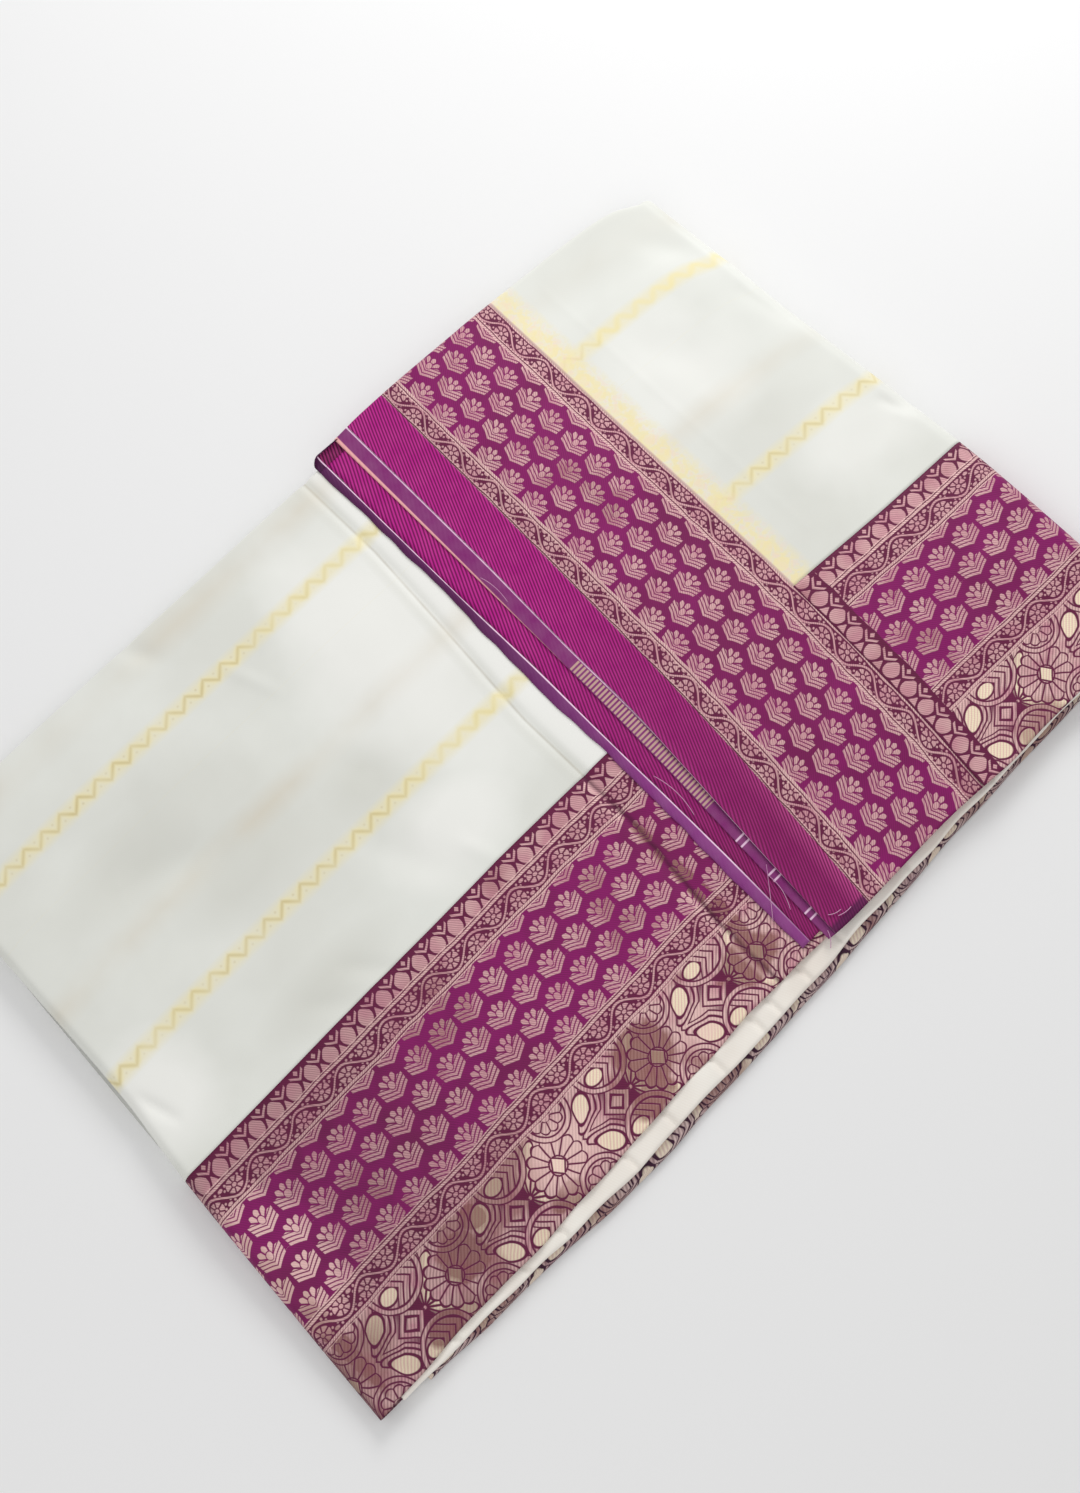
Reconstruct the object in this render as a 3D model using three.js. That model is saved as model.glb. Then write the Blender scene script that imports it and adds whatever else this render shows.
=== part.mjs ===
// A folded saree, lying flat: a pack of cloth panels with the end piece (pallu) turned back over it.
// Millimetres. +X runs along the length of the cloth, +Y from the free selvedges to the fold that
// halves the width, +Z up. The origin is the centre of the underside's bounding rectangle.
import * as THREE from "three";

// ---- Driving sizes -------------------------------------------------------------------------------

const CLOTH = 1.6;              // one layer that shows, with the air it traps
const SEAM = 0.3;               // between neighbouring pieces
const LOWER_HEIGHT = 22;        // the lower pack, at its middle
const SELVEDGE_DROP = { by: 7.5, from: 90, over: 200 };   // lower along the free selvedges
const FOLD_DROP = { by: 2, from: 190, over: 90 };         // and along the width fold
const FLAP_RISE = 9;            // the flap over the lower pack, at its middle
const END_RISE = 4.5;           // the flap at its cut end
const END_SLOPE = { from: 8, over: 90 };                  // from the cut end up to its full height
const FLAP_DROP = { share: 0.6, from: 150, over: 130 };   // thinner along the free selvedges
const UNDER_CLOTH = 2.1;        // the flap's lower half, where it stands out past the upper one
const UNDER_SEAM = 0.4;         // between that half and the lower pack
const PACK_CENTRE = { x: -2.77, y: -5.95 };

const LEFT_X = -419;            // nominal left fold
const RIGHT_X = 420;            // nominal right fold
const BAND_X = 239;             // nominal start of the flap's body
const LEFT_ROLL = 9;            // how far the left fold's round side reaches past its flat top
const RIGHT_ROLL = 12;
const UNDER_RUN = 20;           // cloth that returns under the pack at each end fold
const WIDTH_ROLL = 3;           // outside radius of the lower panel's width fold

const CREASE_X = 18;            // the old fold that crosses the lower panel
const CREASE_DEPTH = 2;
const CREASE_WIDTH = 6;
const CREASE_FADE = { share: 0.7, from: 50, over: 150 };  // it fades through the border

const STACK_Y = -270;           // where the hidden folds end, behind the selvedge folds
const WHITE_FOLD = { low: 6.4, high: 12.3, from: -409, to: 402 };
const FLOOR_FOLD = { low: 0, high: 6.1, from: -386, to: 382 };
const FOLD_CLOTH = 1.4;

const STACK_LAYERS = 5;         // folds to be counted round the hidden solid
const STACK_FACETS = 3;         // facets down the side of each
const STACK_OVERHANG = 1;       // the lower panel's width fold reaches this far past them
const STACK_GROOVE = 2;         // depth of the valley between two of them
const STACK_CLEARANCE = 0.5;    // between the hidden solid and the round folds over it
const STACK_TOP_INSET = 5;      // its top behind the lower panel's width fold
const STACK_END_INSET = 6;      // its corners, inside both end folds
const STACK_FOLD_DEPTH = 8;     // how far down that fold reaches, with room under it
const LOOP = { from: 43, radius: 4.2, length: 12, flare: 1.6 };

const ROLL_STEPS = 8;           // facets round an end fold
const HEM_STEPS = 6;            // facets round a width fold
const FOLD_COLUMNS = 24;        // stretches along a selvedge fold

// ---- Outlines, read as curves through a few places -----------------------------------------------

const LEFT_FOLD = [
  { y: -295, x: -432 }, { y: -214, x: -428 }, { y: -65, x: -419 },
  { y: 19, x: -411 }, { y: 131, x: -408 }, { y: 290, x: -404 },
];
const RIGHT_FOLD = [
  { y: -300, x: 428 }, { y: -146, x: 426 }, { y: -77, x: 425 },
  { y: 80, x: 416 }, { y: 184, x: 411 }, { y: 290, x: 407 },
];
// Across the width: the selvedge, where the border starts, and the width fold.
const LOWER_EDGES = [
  { x: -430, selvedge: -294, border: -65, fold: 272 }, { x: -390, selvedge: -291, border: -64, fold: 281 },
  { x: -326, selvedge: -287, border: -62, fold: 284 }, { x: -253, selvedge: -286, border: -60, fold: 285 },
  { x: -161, selvedge: -282, border: -58, fold: 285 }, { x: -23, selvedge: -276, border: -56, fold: 285 },
  { x: 100, selvedge: -277, border: -58, fold: 284 }, { x: 300, selvedge: -277, border: -68, fold: 275 },
  { x: 430, selvedge: -277, border: -76, fold: 258 },
];
const FLAP_EDGES = [
  { x: 40, selvedge: -277, border: -62, fold: 292 }, { x: 94, selvedge: -281, border: -63, fold: 294 },
  { x: 199, selvedge: -280, border: -65, fold: 290 }, { x: 257, selvedge: -283, border: -68, fold: 287 },
  { x: 330, selvedge: -284, border: -73, fold: 282 }, { x: 383, selvedge: -284, border: -75, fold: 274 },
  { x: 408, selvedge: -284, border: -76, fold: 262 },
];
// Along the length of the flap: each line between two weaves, for the upper half and the half below.
const FLAP_LINES = [
  { y: -281, underEnd: 34, underLine: 42, end: 53, twill: 61, vine: 95, band: 223 },
  { y: -190, underEnd: 35, underLine: 45, end: 57, twill: 67, vine: 103, band: 231 },
  { y: -60, underEnd: 38, underLine: 46, end: 63, twill: 76, vine: 112, band: 237 },
  { y: 30, underEnd: 38, underLine: 48, end: 66, twill: 78, vine: 116, band: 239 },
  { y: 130, underEnd: 42, underLine: 48, end: 68, twill: 82, vine: 120, band: 240 },
  { y: 290, underEnd: 43, underLine: 51, end: 71, twill: 86, vine: 125, band: 244 },
];
const WHITE_FOLD_EDGE = [
  { x: -410, y: -294 }, { x: -311, y: -295 }, { x: -177, y: -298 }, { x: -77, y: -296 },
  { x: 10, y: -294 }, { x: 100, y: -289 }, { x: 270, y: -285 }, { x: 410, y: -283 },
];
const FLOOR_FOLD_EDGE = [
  { x: -390, y: -297 }, { x: -315, y: -300 }, { x: -265, y: -301 }, { x: -180, y: -306 },
  { x: -93, y: -303 }, { x: 5, y: -300 }, { x: 77, y: -297 }, { x: 190, y: -291 }, { x: 390, y: -287 },
];

// ---- Grid lines, shared by the layers so that they stay parallel ----------------------------------

const LOWER_COLUMNS = [
  -389.2, -388, -350, -300, -250, -200, -150, -100, -55, -20, 0, 8, 13, 18, 23, 28, 36, 50,
  80, 120, 160, 200, 240, 280, 320, 355, 383, 384.5, 405,
];
const LOWER_START = LEFT_X + LEFT_ROLL;
const BORDER_ROWS = [0, 0.12, 0.24, 0.37, 0.5, 0.63, 0.76, 0.88, 1];
const BODY_ROWS = [0, 0.1, 0.2, 0.31, 0.42, 0.53, 0.64, 0.74, 0.83, 0.92, 1];
const FULL_ROWS = [0, 0.05, 0.1, 0.15, 0.2, 0.26, 0.32, 0.38, 0.45, 0.55, 0.65, 0.73, 0.81, 0.87, 0.94, 1];
const FLAP_COLUMNS = {
  band: [2, 2.17, 2.33, 2.5, 2.67, 2.83, 3],
  body: [3, 3.13, 3.3, 3.5, 3.7, 3.84, 3.92],
};

// ---- Curves and heights --------------------------------------------------------------------------

const half = SEAM / 2;
const clamp01 = (value) => Math.min(1, Math.max(0, value));
const smooth = (value) => {
  const t = clamp01(value);
  return t * t * (3 - 2 * t);
};
const mix = (a, b, t) => a + (b - a) * t;
const ramp = (distance, slope) => smooth((distance - slope.from) / slope.over);   // from 0 to 1

// A smooth curve through a table's rows: a cubic between two rows, its slopes from their neighbours.
function curve(rows, along, across) {
  const slope = (i) => {
    const before = rows[Math.max(0, i - 1)];
    const after = rows[Math.min(rows.length - 1, i + 1)];
    return (after[across] - before[across]) / (after[along] - before[along]);
  };
  return (at) => {
    let i = 0;
    while (i < rows.length - 2 && rows[i + 1][along] < at) i += 1;
    const [a, b] = [rows[i], rows[i + 1]];
    const span = b[along] - a[along];
    const t = clamp01((at - a[along]) / span);
    const bend = (3 - 2 * t) * t * t;
    const leave = slope(i) * span * t * (1 - t) * (1 - t);
    const arrive = slope(i + 1) * span * t * t * (t - 1);
    return mix(a[across], b[across], bend) + leave + arrive;
  };
}

const leftFold = curve(LEFT_FOLD, "y", "x");
const rightFold = curve(RIGHT_FOLD, "y", "x");
const lower = {
  selvedge: curve(LOWER_EDGES, "x", "selvedge"),
  border: curve(LOWER_EDGES, "x", "border"),
  fold: curve(LOWER_EDGES, "x", "fold"),
};
const flap = {
  selvedge: curve(FLAP_EDGES, "x", "selvedge"),
  border: curve(FLAP_EDGES, "x", "border"),
  fold: curve(FLAP_EDGES, "x", "fold"),
};
const underEnd = curve(FLAP_LINES, "y", "underEnd");
const underLine = curve(FLAP_LINES, "y", "underLine");
const flapLines = ["end", "twill", "vine", "band"].map((name) => curve(FLAP_LINES, "y", name));

// Where a nominal place along the lower pack lies at a given place across it: both ends lean.
function spread(x, y) {
  if (x < CREASE_X) return CREASE_X + ((x - CREASE_X) * (leftFold(y) - CREASE_X)) / (LEFT_X - CREASE_X);
  return CREASE_X + ((x - CREASE_X) * (rightFold(y) - CREASE_X)) / (RIGHT_X - CREASE_X);
}

// Where a line of the flap lies: 0 its cut end, 1 the twill, 2 the vine, 3 the body, 4 the right fold.
function flapX(line, y) {
  const i = Math.min(3, Math.floor(line));
  const next = i === 3 ? rightFold(y) : flapLines[i + 1](y);
  return mix(flapLines[i](y), next, line - i);
}

function lowerTop(x, y) {
  const crease = CREASE_DEPTH * Math.exp(-(((x - CREASE_X) / CREASE_WIDTH) ** 2));
  const creaseLeft = 1 - CREASE_FADE.share * ramp(-y, CREASE_FADE);
  const drop = SELVEDGE_DROP.by * ramp(-y, SELVEDGE_DROP) + FOLD_DROP.by * ramp(y, FOLD_DROP);
  return LOWER_HEIGHT - drop - crease * creaseLeft;
}

function flapRise(x, y) {
  const fromEnd = ramp(x - flapLines[0](y), END_SLOPE);
  const nearSelvedge = 1 - FLAP_DROP.share * ramp(-y, FLAP_DROP);
  return END_RISE + (FLAP_RISE - END_RISE) * fromEnd * nearSelvedge;
}

const flapTop = (x, y) => lowerTop(x, y) + flapRise(x, y);

// ---- Solids from grids ---------------------------------------------------------------------------

function solid(name, points, faces, colour, roughness, metalness = 0) {
  const geometry = new THREE.BufferGeometry();
  const positions = new Float32Array(points.flat());
  let volume = 0;
  for (const [a, b, c] of faces) {
    const corners = [a, b, c].map((i) => new THREE.Vector3(...points[i]));
    volume += corners[0].dot(corners[1].cross(corners[2]));
  }
  const outward = volume > 0 ? faces : faces.map(([a, b, c]) => [a, c, b]);
  geometry.setAttribute("position", new THREE.BufferAttribute(positions, 3));
  geometry.setIndex(outward.flat());
  geometry.computeVertexNormals();
  const material = new THREE.MeshStandardMaterial({ color: colour, roughness, metalness });
  const mesh = new THREE.Mesh(geometry, material);
  mesh.name = name;
  return mesh;
}

// A closed wall over a grid of columns and rows: an outer and an inner face, and the rim between them.
function wall(name, columns, rows, pointAt, finish) {
  const points = [];
  for (const side of [0, 1]) {
    for (const column of columns) {
      for (const row of rows) points.push(pointAt(column, row, side));
    }
  }
  const [nc, nr] = [columns.length, rows.length];
  const at = (side, i, j) => (side * nc + i) * nr + j;
  const faces = [];
  const quad = (a, b, c, d) => faces.push([a, b, c], [a, c, d]);
  for (let i = 0; i < nc - 1; i += 1) {
    for (let j = 0; j < nr - 1; j += 1) {
      quad(at(0, i, j), at(0, i + 1, j), at(0, i + 1, j + 1), at(0, i, j + 1));
      quad(at(1, i, j + 1), at(1, i + 1, j + 1), at(1, i + 1, j), at(1, i, j));
    }
    quad(at(0, i + 1, 0), at(0, i, 0), at(1, i, 0), at(1, i + 1, 0));
    quad(at(0, i, nr - 1), at(0, i + 1, nr - 1), at(1, i + 1, nr - 1), at(1, i, nr - 1));
  }
  for (let j = 0; j < nr - 1; j += 1) {
    quad(at(0, 0, j), at(0, 0, j + 1), at(1, 0, j + 1), at(1, 0, j));
    quad(at(0, nc - 1, j + 1), at(0, nc - 1, j), at(1, nc - 1, j), at(1, nc - 1, j + 1));
  }
  return solid(name, points, faces, finish.colour, finish.roughness, finish.metalness);
}

// ---- Rows and columns of the cloth ---------------------------------------------------------------

const flatRows = (from, to, places, trimStart = 0, trimEnd = 0) => places.map((t) => ({
  y: (x) => mix(from(x) + trimStart, to(x) - trimEnd, t),
  turn: 0,
}));
const hemRows = Array.from({ length: HEM_STEPS }, (_, i) => ({ turn: (Math.PI * (i + 1)) / HEM_STEPS }));

// A row's place across the cloth and its depth below the outer face, on the outer or the inner side.
function rowPlace(row, x, side, edge, radius) {
  const thin = side * CLOTH;
  if (row.turn === 0) return { y: row.y(x), depth: thin };
  return {
    y: edge(x) - radius + (radius - thin) * Math.sin(row.turn),
    depth: radius - (radius - thin) * Math.cos(row.turn),
  };
}

const rollColumns = Array.from({ length: ROLL_STEPS }, (_, i) => ({
  zone: "roll",
  turn: Math.PI - (Math.PI * i) / ROLL_STEPS,
}));

// A place on an end fold: an ellipse from the flat top, round the side, to the surface below.
function rollPlace(centre, reach, half, turn, depth) {
  return { x: centre + Math.sign(reach) * (Math.abs(reach) - depth) * Math.sin(turn),
    z: half + (half - depth) * Math.cos(turn) };
}

// ---- The lower panel -----------------------------------------------------------------------------

function lowerPoint(column, y, depth) {
  if (column.zone === "under") return [spread(column.x, y), y, depth];
  if (column.zone === "top") return [spread(column.x, y), y, lowerTop(spread(column.x, y), y) - depth];
  const centre = spread(LOWER_START, y);
  const place = rollPlace(centre, -LEFT_ROLL, lowerTop(centre, y) / 2, column.turn, depth);
  return [place.x, y, place.z];
}

const lowerTopColumns = [LOWER_START, ...LOWER_COLUMNS].map((x) => ({ zone: "top", x }));
const lowerColumns = [{ zone: "under", x: LOWER_START + UNDER_RUN }, ...rollColumns, ...lowerTopColumns];
const nominalX = (column) => (column.zone === "top" ? column.x : LOWER_START);

function lowerWall(name, rows, finish) {
  const pointAt = (column, row, side) => {
    const place = rowPlace(row, nominalX(column), side, lower.fold, WIDTH_ROLL);
    return lowerPoint(column, place.y, place.depth);
  };
  return wall(name, lowerColumns, rows, pointAt, finish);
}

// ---- The flap ------------------------------------------------------------------------------------

const flapStart = 4 - RIGHT_ROLL / (RIGHT_X - BAND_X);

function flapPoint(column, y, depth) {
  if (column.zone === "under") return [flapX(flapStart, y) - UNDER_RUN, y, depth];
  const x = flapX(column.zone === "top" ? column.line : flapStart, y);
  if (column.zone === "top") return [x, y, flapTop(x, y) - depth];
  const place = rollPlace(x, RIGHT_ROLL, flapTop(x, y) / 2, column.turn, depth);
  return [place.x, y, place.z];
}

// Columns along lines of the flap, half a seam inside the first and the last one.
const topLines = (lines) => lines.map((line, i) => ({
  zone: "top",
  line,
  trim: (Number(i === 0) - Number(i === lines.length - 1)) * half,
}));
const flapColumns = [
  ...topLines([...FLAP_COLUMNS.body, flapStart]).slice(0, -1),
  { zone: "top", line: flapStart, trim: 0 },
  ...[...rollColumns].reverse(),
  { zone: "under" },
];

function flapWall(name, columns, rows, finish) {
  const pointAt = (column, row, side) => {
    const x = flapX(column.zone === "top" ? column.line : flapStart, 0);
    const edgeX = Math.min(x, FLAP_EDGES.at(-1).x);
    const radius = (flapRise(x, flap.fold(edgeX)) - SEAM) / 2;
    const place = rowPlace(row, edgeX, side, flap.fold, radius);
    const [px, py, pz] = flapPoint(column, place.y, place.depth);
    return [px + (column.trim ?? 0), py, pz];
  };
  return wall(name, columns, rows, pointAt, finish);
}

// ---- The flap's lower half, where it stands out past the upper one --------------------------------

// Cloth between two lines of the flap, lying on the lower pack.
function underWall(name, from, to, finish) {
  const pointAt = (t, row, side) => {
    const x = mix(from(0), to(0), t);
    const y = row.y(x);
    const px = mix(from(y), to(y), t);
    return [px, y, lowerTop(px, y) + UNDER_SEAM + (side === 0 ? UNDER_CLOTH : 0)];
  };
  return wall(name, [0, 0.5, 1], underRows, pointAt, finish);
}

// The hidden rest of that half: it fills the flap between the lower pack and the upper half.
function hiddenHalf(name, finish) {
  const pointAt = (line, row, side) => {
    const y = row.y(Math.min(flapX(line, 0), FLAP_EDGES.at(-1).x));
    const x = flapX(line, y) + half;
    const z = side === 0 ? flapTop(x, y) - CLOTH - SEAM : lowerTop(x, y) + UNDER_SEAM;
    return [x, y, z];
  };
  return wall(name, [...FLAP_COLUMNS.band, ...FLAP_COLUMNS.body.slice(1)], hiddenRows, pointAt, finish);
}

// The open loop at the width fold: the cloth's end turns up from the lower half to the upper one.
function foldLoop(name, finish) {
  const last = flapLines[0];
  const turns = [-1, ...Array.from({ length: HEM_STEPS + 1 }, (_, i) => i / HEM_STEPS), 2];
  const pointAt = (t, turn, side) => {
    const edge = flap.fold(LOOP.from);
    const x = mix(LOOP.from, last(edge) - SEAM, t);
    const radius = LOOP.radius + LOOP.flare * (1 - t);
    const inner = radius - side * CLOTH;
    const angle = Math.PI * clamp01(turn);
    const onRun = turn < 0 || turn > 1;
    const y = onRun ? edge - LOOP.length : edge - radius + inner * Math.sin(angle);
    const bottom = lowerTop(x, edge - LOOP.length) + UNDER_SEAM;
    return [x, y, bottom + radius - inner * Math.cos(angle)];
  };
  return wall(name, [0, 0.5, 1], turns, pointAt, finish);
}

// ---- The folds along the selvedge side -----------------------------------------------------------

// A panel folded back on itself, its round side out past the pack and its two edges at the hidden folds.
function selvedgeFold(name, edge, size, finish) {
  const radius = (size.high - size.low) / 2;
  const turns = [-1, ...Array.from({ length: HEM_STEPS + 1 }, (_, i) => i / HEM_STEPS), 2];
  const pointAt = (x, turn, side) => {
    const inner = radius - side * FOLD_CLOTH;
    const angle = Math.PI * clamp01(turn);
    const onRun = turn < 0 || turn > 1;
    const y = onRun ? STACK_Y - SEAM : edge(x) + radius - inner * Math.sin(angle);
    return [x, y, size.low + radius + inner * Math.cos(angle)];
  };
  const columns = Array.from(
    { length: FOLD_COLUMNS + 1 },
    (_, i) => mix(size.from, size.to, i / FOLD_COLUMNS),
  );
  return wall(name, columns, turns, pointAt, finish);
}

// ---- The hidden folds ----------------------------------------------------------------------------

// One closed solid on the lower panel's own grid: its top follows the panel above it, its underside
// is flat, and its sides step in and out between the folds inside.
function hiddenFolds(name, finish) {
  const depth = CLOTH + SEAM;
  const columns = [LOWER_START, ...LOWER_COLUMNS];
  const inEnds = (x) => x <= LOWER_COLUMNS[1] || x >= LOWER_COLUMNS.at(-3);
  const endEdge = (x) => (x < 0 ? lower.fold(LOWER_START) : flap.fold(FLAP_EDGES.at(-1).x)) - STACK_END_INSET;
  const topEdge = (x) => (inEnds(x) ? endEdge(x) : lower.fold(x) - STACK_TOP_INSET);
  const rows = [
    () => STACK_Y,
    ...BORDER_ROWS.slice(1).map((t) => (x) => mix(lower.selvedge(x), lower.border(x), t)),
    ...BODY_ROWS.slice(1, -1).map((t) => (x) => mix(lower.border(x), lower.fold(x) - WIDTH_ROLL, t)),
    topEdge,
  ];
  const floorAt = (x) => (x <= LOWER_COLUMNS[0] || x >= LOWER_COLUMNS.at(-2) ? depth : 0);
  const facets = STACK_LAYERS * STACK_FACETS;
  const levels = Array.from({ length: facets + 1 }, (_, k) => k / facets);
  const groove = (k) => (k % STACK_FACETS === 0 ? STACK_GROOVE : 0);

  // The side of the solid, at one level below a place on the edge of its top.
  const sidePoint = (i, j, k) => {
    const nominal = columns[i];
    const topY = rows[j](nominal);
    const top = lowerTop(spread(nominal, topY), topY) - depth;
    const z = mix(top, floorAt(nominal), levels[k]);
    let y = topY;
    if (k > 0 && k < levels.length - 1) {
      if (j === 0) y = STACK_Y + groove(k);
      const below = lowerTop(spread(nominal, topY), topY) - z > STACK_FOLD_DEPTH;
      if (j === rows.length - 1 && !inEnds(nominal) && below) {
        y = lower.fold(nominal) - STACK_OVERHANG - groove(k);
      }
    }
    let x = spread(nominal, y);
    const edge = i === 0 ? -1 : Number(i === columns.length - 1);
    if (edge !== 0) {
      const centre = edge < 0 ? spread(LOWER_START, y) : flapX(flapStart, y);
      const middle = (edge < 0 ? lowerTop(centre, y) : flapTop(centre, y)) / 2;
      const inside = depth + STACK_CLEARANCE;
      const reach = (edge < 0 ? LEFT_ROLL : RIGHT_ROLL) - inside;
      const rise = Math.min(1, Math.abs(z - middle) / (middle - inside));
      if (k > 0 && k < levels.length - 1) x = centre + edge * reach * Math.sqrt(1 - rise * rise);
    }
    return [x, y, z];
  };

  const [nc, nr, nl] = [columns.length, rows.length, levels.length];
  const points = [];
  const faces = [];
  const quad = (a, b, c, d) => faces.push([a, b, c], [a, c, d]);
  const caps = [0, nl - 1].map((k) => {
    const first = points.length;
    for (let i = 0; i < nc; i += 1) {
      for (let j = 0; j < nr; j += 1) points.push(sidePoint(i, j, k));
    }
    return (i, j) => first + i * nr + j;
  });
  for (let i = 0; i < nc - 1; i += 1) {
    for (let j = 0; j < nr - 1; j += 1) {
      quad(caps[0](i, j), caps[0](i + 1, j), caps[0](i + 1, j + 1), caps[0](i, j + 1));
      quad(caps[1](i, j + 1), caps[1](i + 1, j + 1), caps[1](i + 1, j), caps[1](i, j));
    }
  }
  const ring = [];
  for (let i = 0; i < nc - 1; i += 1) ring.push([i, 0]);
  for (let j = 0; j < nr - 1; j += 1) ring.push([nc - 1, j]);
  for (let i = nc - 1; i > 0; i -= 1) ring.push([i, nr - 1]);
  for (let j = nr - 1; j > 0; j -= 1) ring.push([0, j]);
  const loops = levels.map((_, k) => {
    if (k === 0) return ring.map(([i, j]) => caps[0](i, j));
    if (k === nl - 1) return ring.map(([i, j]) => caps[1](i, j));
    return ring.map(([i, j]) => points.push(sidePoint(i, j, k)) - 1);
  });
  for (let k = 0; k < nl - 1; k += 1) {
    for (let n = 0; n < ring.length; n += 1) {
      const next = (n + 1) % ring.length;
      quad(loops[k + 1][n], loops[k + 1][next], loops[k][next], loops[k][n]);
    }
  }
  return solid(name, points, faces, finish.colour, finish.roughness, finish.metalness);
}

// ---- Assembly ------------------------------------------------------------------------------------

const FINISH = {
  white: { colour: 0xebeeeb, roughness: 0.45, metalness: 0 },
  border: { colour: 0xa8456f, roughness: 0.5, metalness: 0.15 },
  twill: { colour: 0x96196e, roughness: 0.6, metalness: 0 },
  heading: { colour: 0x914187, roughness: 0.6, metalness: 0 },
};

const lowerBodyRows = [...flatRows(lower.border, lower.fold, BODY_ROWS, half, WIDTH_ROLL), ...hemRows];
const lowerBorderRows = flatRows(lower.selvedge, lower.border, BORDER_ROWS, 0, half);
const flapHem = (FLAP_RISE - SEAM) / 2;
const flapBodyRows = [...flatRows(flap.border, flap.fold, BODY_ROWS, half, flapHem), ...hemRows];
const flapBorderRows = flatRows(flap.selvedge, flap.border, BORDER_ROWS, 0, half);
const flapWholeRows = [
  ...flatRows(flap.selvedge, flap.border, BORDER_ROWS),
  ...flatRows(flap.border, flap.fold, BODY_ROWS, 0, flapHem).slice(1),
  ...hemRows,
];
const underEdge = () => STACK_Y;
const loopEdge = () => flap.fold(LOOP.from) - LOOP.length - SEAM;
const underRows = flatRows(underEdge, loopEdge, FULL_ROWS);
const hiddenRows = flatRows(underEdge, flap.fold, FULL_ROWS, 0, 2 * flapHem);

const saree = new THREE.Group();
saree.add(hiddenFolds("hidden_folds", FINISH.white));
saree.add(lowerWall("lower_body", lowerBodyRows, FINISH.white));
saree.add(lowerWall("lower_border", lowerBorderRows, FINISH.border));
saree.add(selvedgeFold("inner_white_fold", curve(WHITE_FOLD_EDGE, "x", "y"), WHITE_FOLD, FINISH.white));
saree.add(selvedgeFold("bottom_border", curve(FLOOR_FOLD_EDGE, "x", "y"), FLOOR_FOLD, FINISH.border));
saree.add(underWall("heading_strip_under", underEnd, (y) => underLine(y) - half, FINISH.heading));
saree.add(underWall("under_twill", (y) => underLine(y) + half, (y) => flapLines[2](y) - half, FINISH.twill));
saree.add(hiddenHalf("flap_under_layer", FINISH.white));
saree.add(foldLoop("flap_fold_loop", FINISH.twill));
saree.add(flapWall("heading_strip_top", topLines([0, 0.5, 1]), flapWholeRows, FINISH.heading));
saree.add(flapWall("pallu_twill", topLines([1, 1.25, 1.5, 1.75, 2]), flapWholeRows, FINISH.twill));
saree.add(flapWall("pallu_band", topLines(FLAP_COLUMNS.band), flapWholeRows, FINISH.border));
saree.add(flapWall("flap_body", flapColumns, flapBodyRows, FINISH.white));
saree.add(flapWall("flap_border", flapColumns, flapBorderRows, FINISH.border));
saree.position.set(-PACK_CENTRE.x, -PACK_CENTRE.y, 0);

export default saree;
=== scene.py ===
"""A folded saree: white silk with a wide figured border and the end piece turned back over it.

The cloth is worked out in millimetres on the pack's own plan (+X along the length of the cloth, +Y
from the free selvedges to the fold that halves the width) and put into the meshes in metres.
"""

from __future__ import annotations

import logging
import math
from collections.abc import Callable, Sequence
from dataclasses import dataclass
from enum import Enum
from typing import NamedTuple

import bpy
import numpy as np
from mathutils import Matrix, Vector


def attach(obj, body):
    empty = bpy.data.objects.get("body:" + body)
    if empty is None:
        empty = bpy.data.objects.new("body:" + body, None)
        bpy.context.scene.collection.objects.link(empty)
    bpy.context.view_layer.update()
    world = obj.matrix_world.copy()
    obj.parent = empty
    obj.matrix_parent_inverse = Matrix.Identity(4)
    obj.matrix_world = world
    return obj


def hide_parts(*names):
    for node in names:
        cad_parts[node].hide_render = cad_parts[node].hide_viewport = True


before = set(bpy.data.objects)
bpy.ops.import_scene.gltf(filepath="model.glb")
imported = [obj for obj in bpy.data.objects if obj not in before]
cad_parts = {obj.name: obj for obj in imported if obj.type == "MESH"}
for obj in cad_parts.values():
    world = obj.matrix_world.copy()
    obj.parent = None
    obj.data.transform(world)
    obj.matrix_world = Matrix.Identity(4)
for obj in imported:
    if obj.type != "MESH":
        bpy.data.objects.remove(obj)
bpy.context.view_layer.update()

LOG = logging.getLogger("saree")
Array = np.ndarray
Material = bpy.types.Material
Object = bpy.types.Object
Tree = bpy.types.NodeTree

MM = 0.001
PACK_CENTRE = (-2.77, -5.95)    # of the plan, where the frame has its origin
UV_SHIFT = 1.0                  # metres, so that the cloth's measures stay above 0
CLOTH = 0.7                     # the cloth's thickness
BORDER_WIDTH = 223.0
FLAP_BODY_LENGTH = 240.0        # of the flap's plain body, from the cross band to the right fold
SELVEDGE_STACK_Y = -270.0       # where the covered layers have their selvedges
FLAP_LAST_X = 408.0             # the last place where the flap's edges are known


# ---- Outlines, read as curves through a few places ----


class End(NamedTuple):
    """Where an end fold, or the old cross fold, lies at one place across the pack."""

    y: float
    x: float


class Edge(NamedTuple):
    """Where one edge lies at one place along the pack."""

    x: float
    y: float


class Across(NamedTuple):
    """The selvedge, the start of the border and the width fold, at one place along the pack."""

    x: float
    selvedge: float
    border: float
    fold: float


class Along(NamedTuple):
    """The lines between the flap's weaves, at one place across the pack."""

    y: float
    under_end: float
    under_line: float
    end: float
    twill: float
    vine: float
    band: float


def table(kind: Callable[..., NamedTuple], *rows: Sequence[float]) -> tuple[NamedTuple, ...]:
    """Read rows of numbers as named tuples of one kind, in the order of its fields."""
    return tuple(kind(*row) for row in rows)


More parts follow.
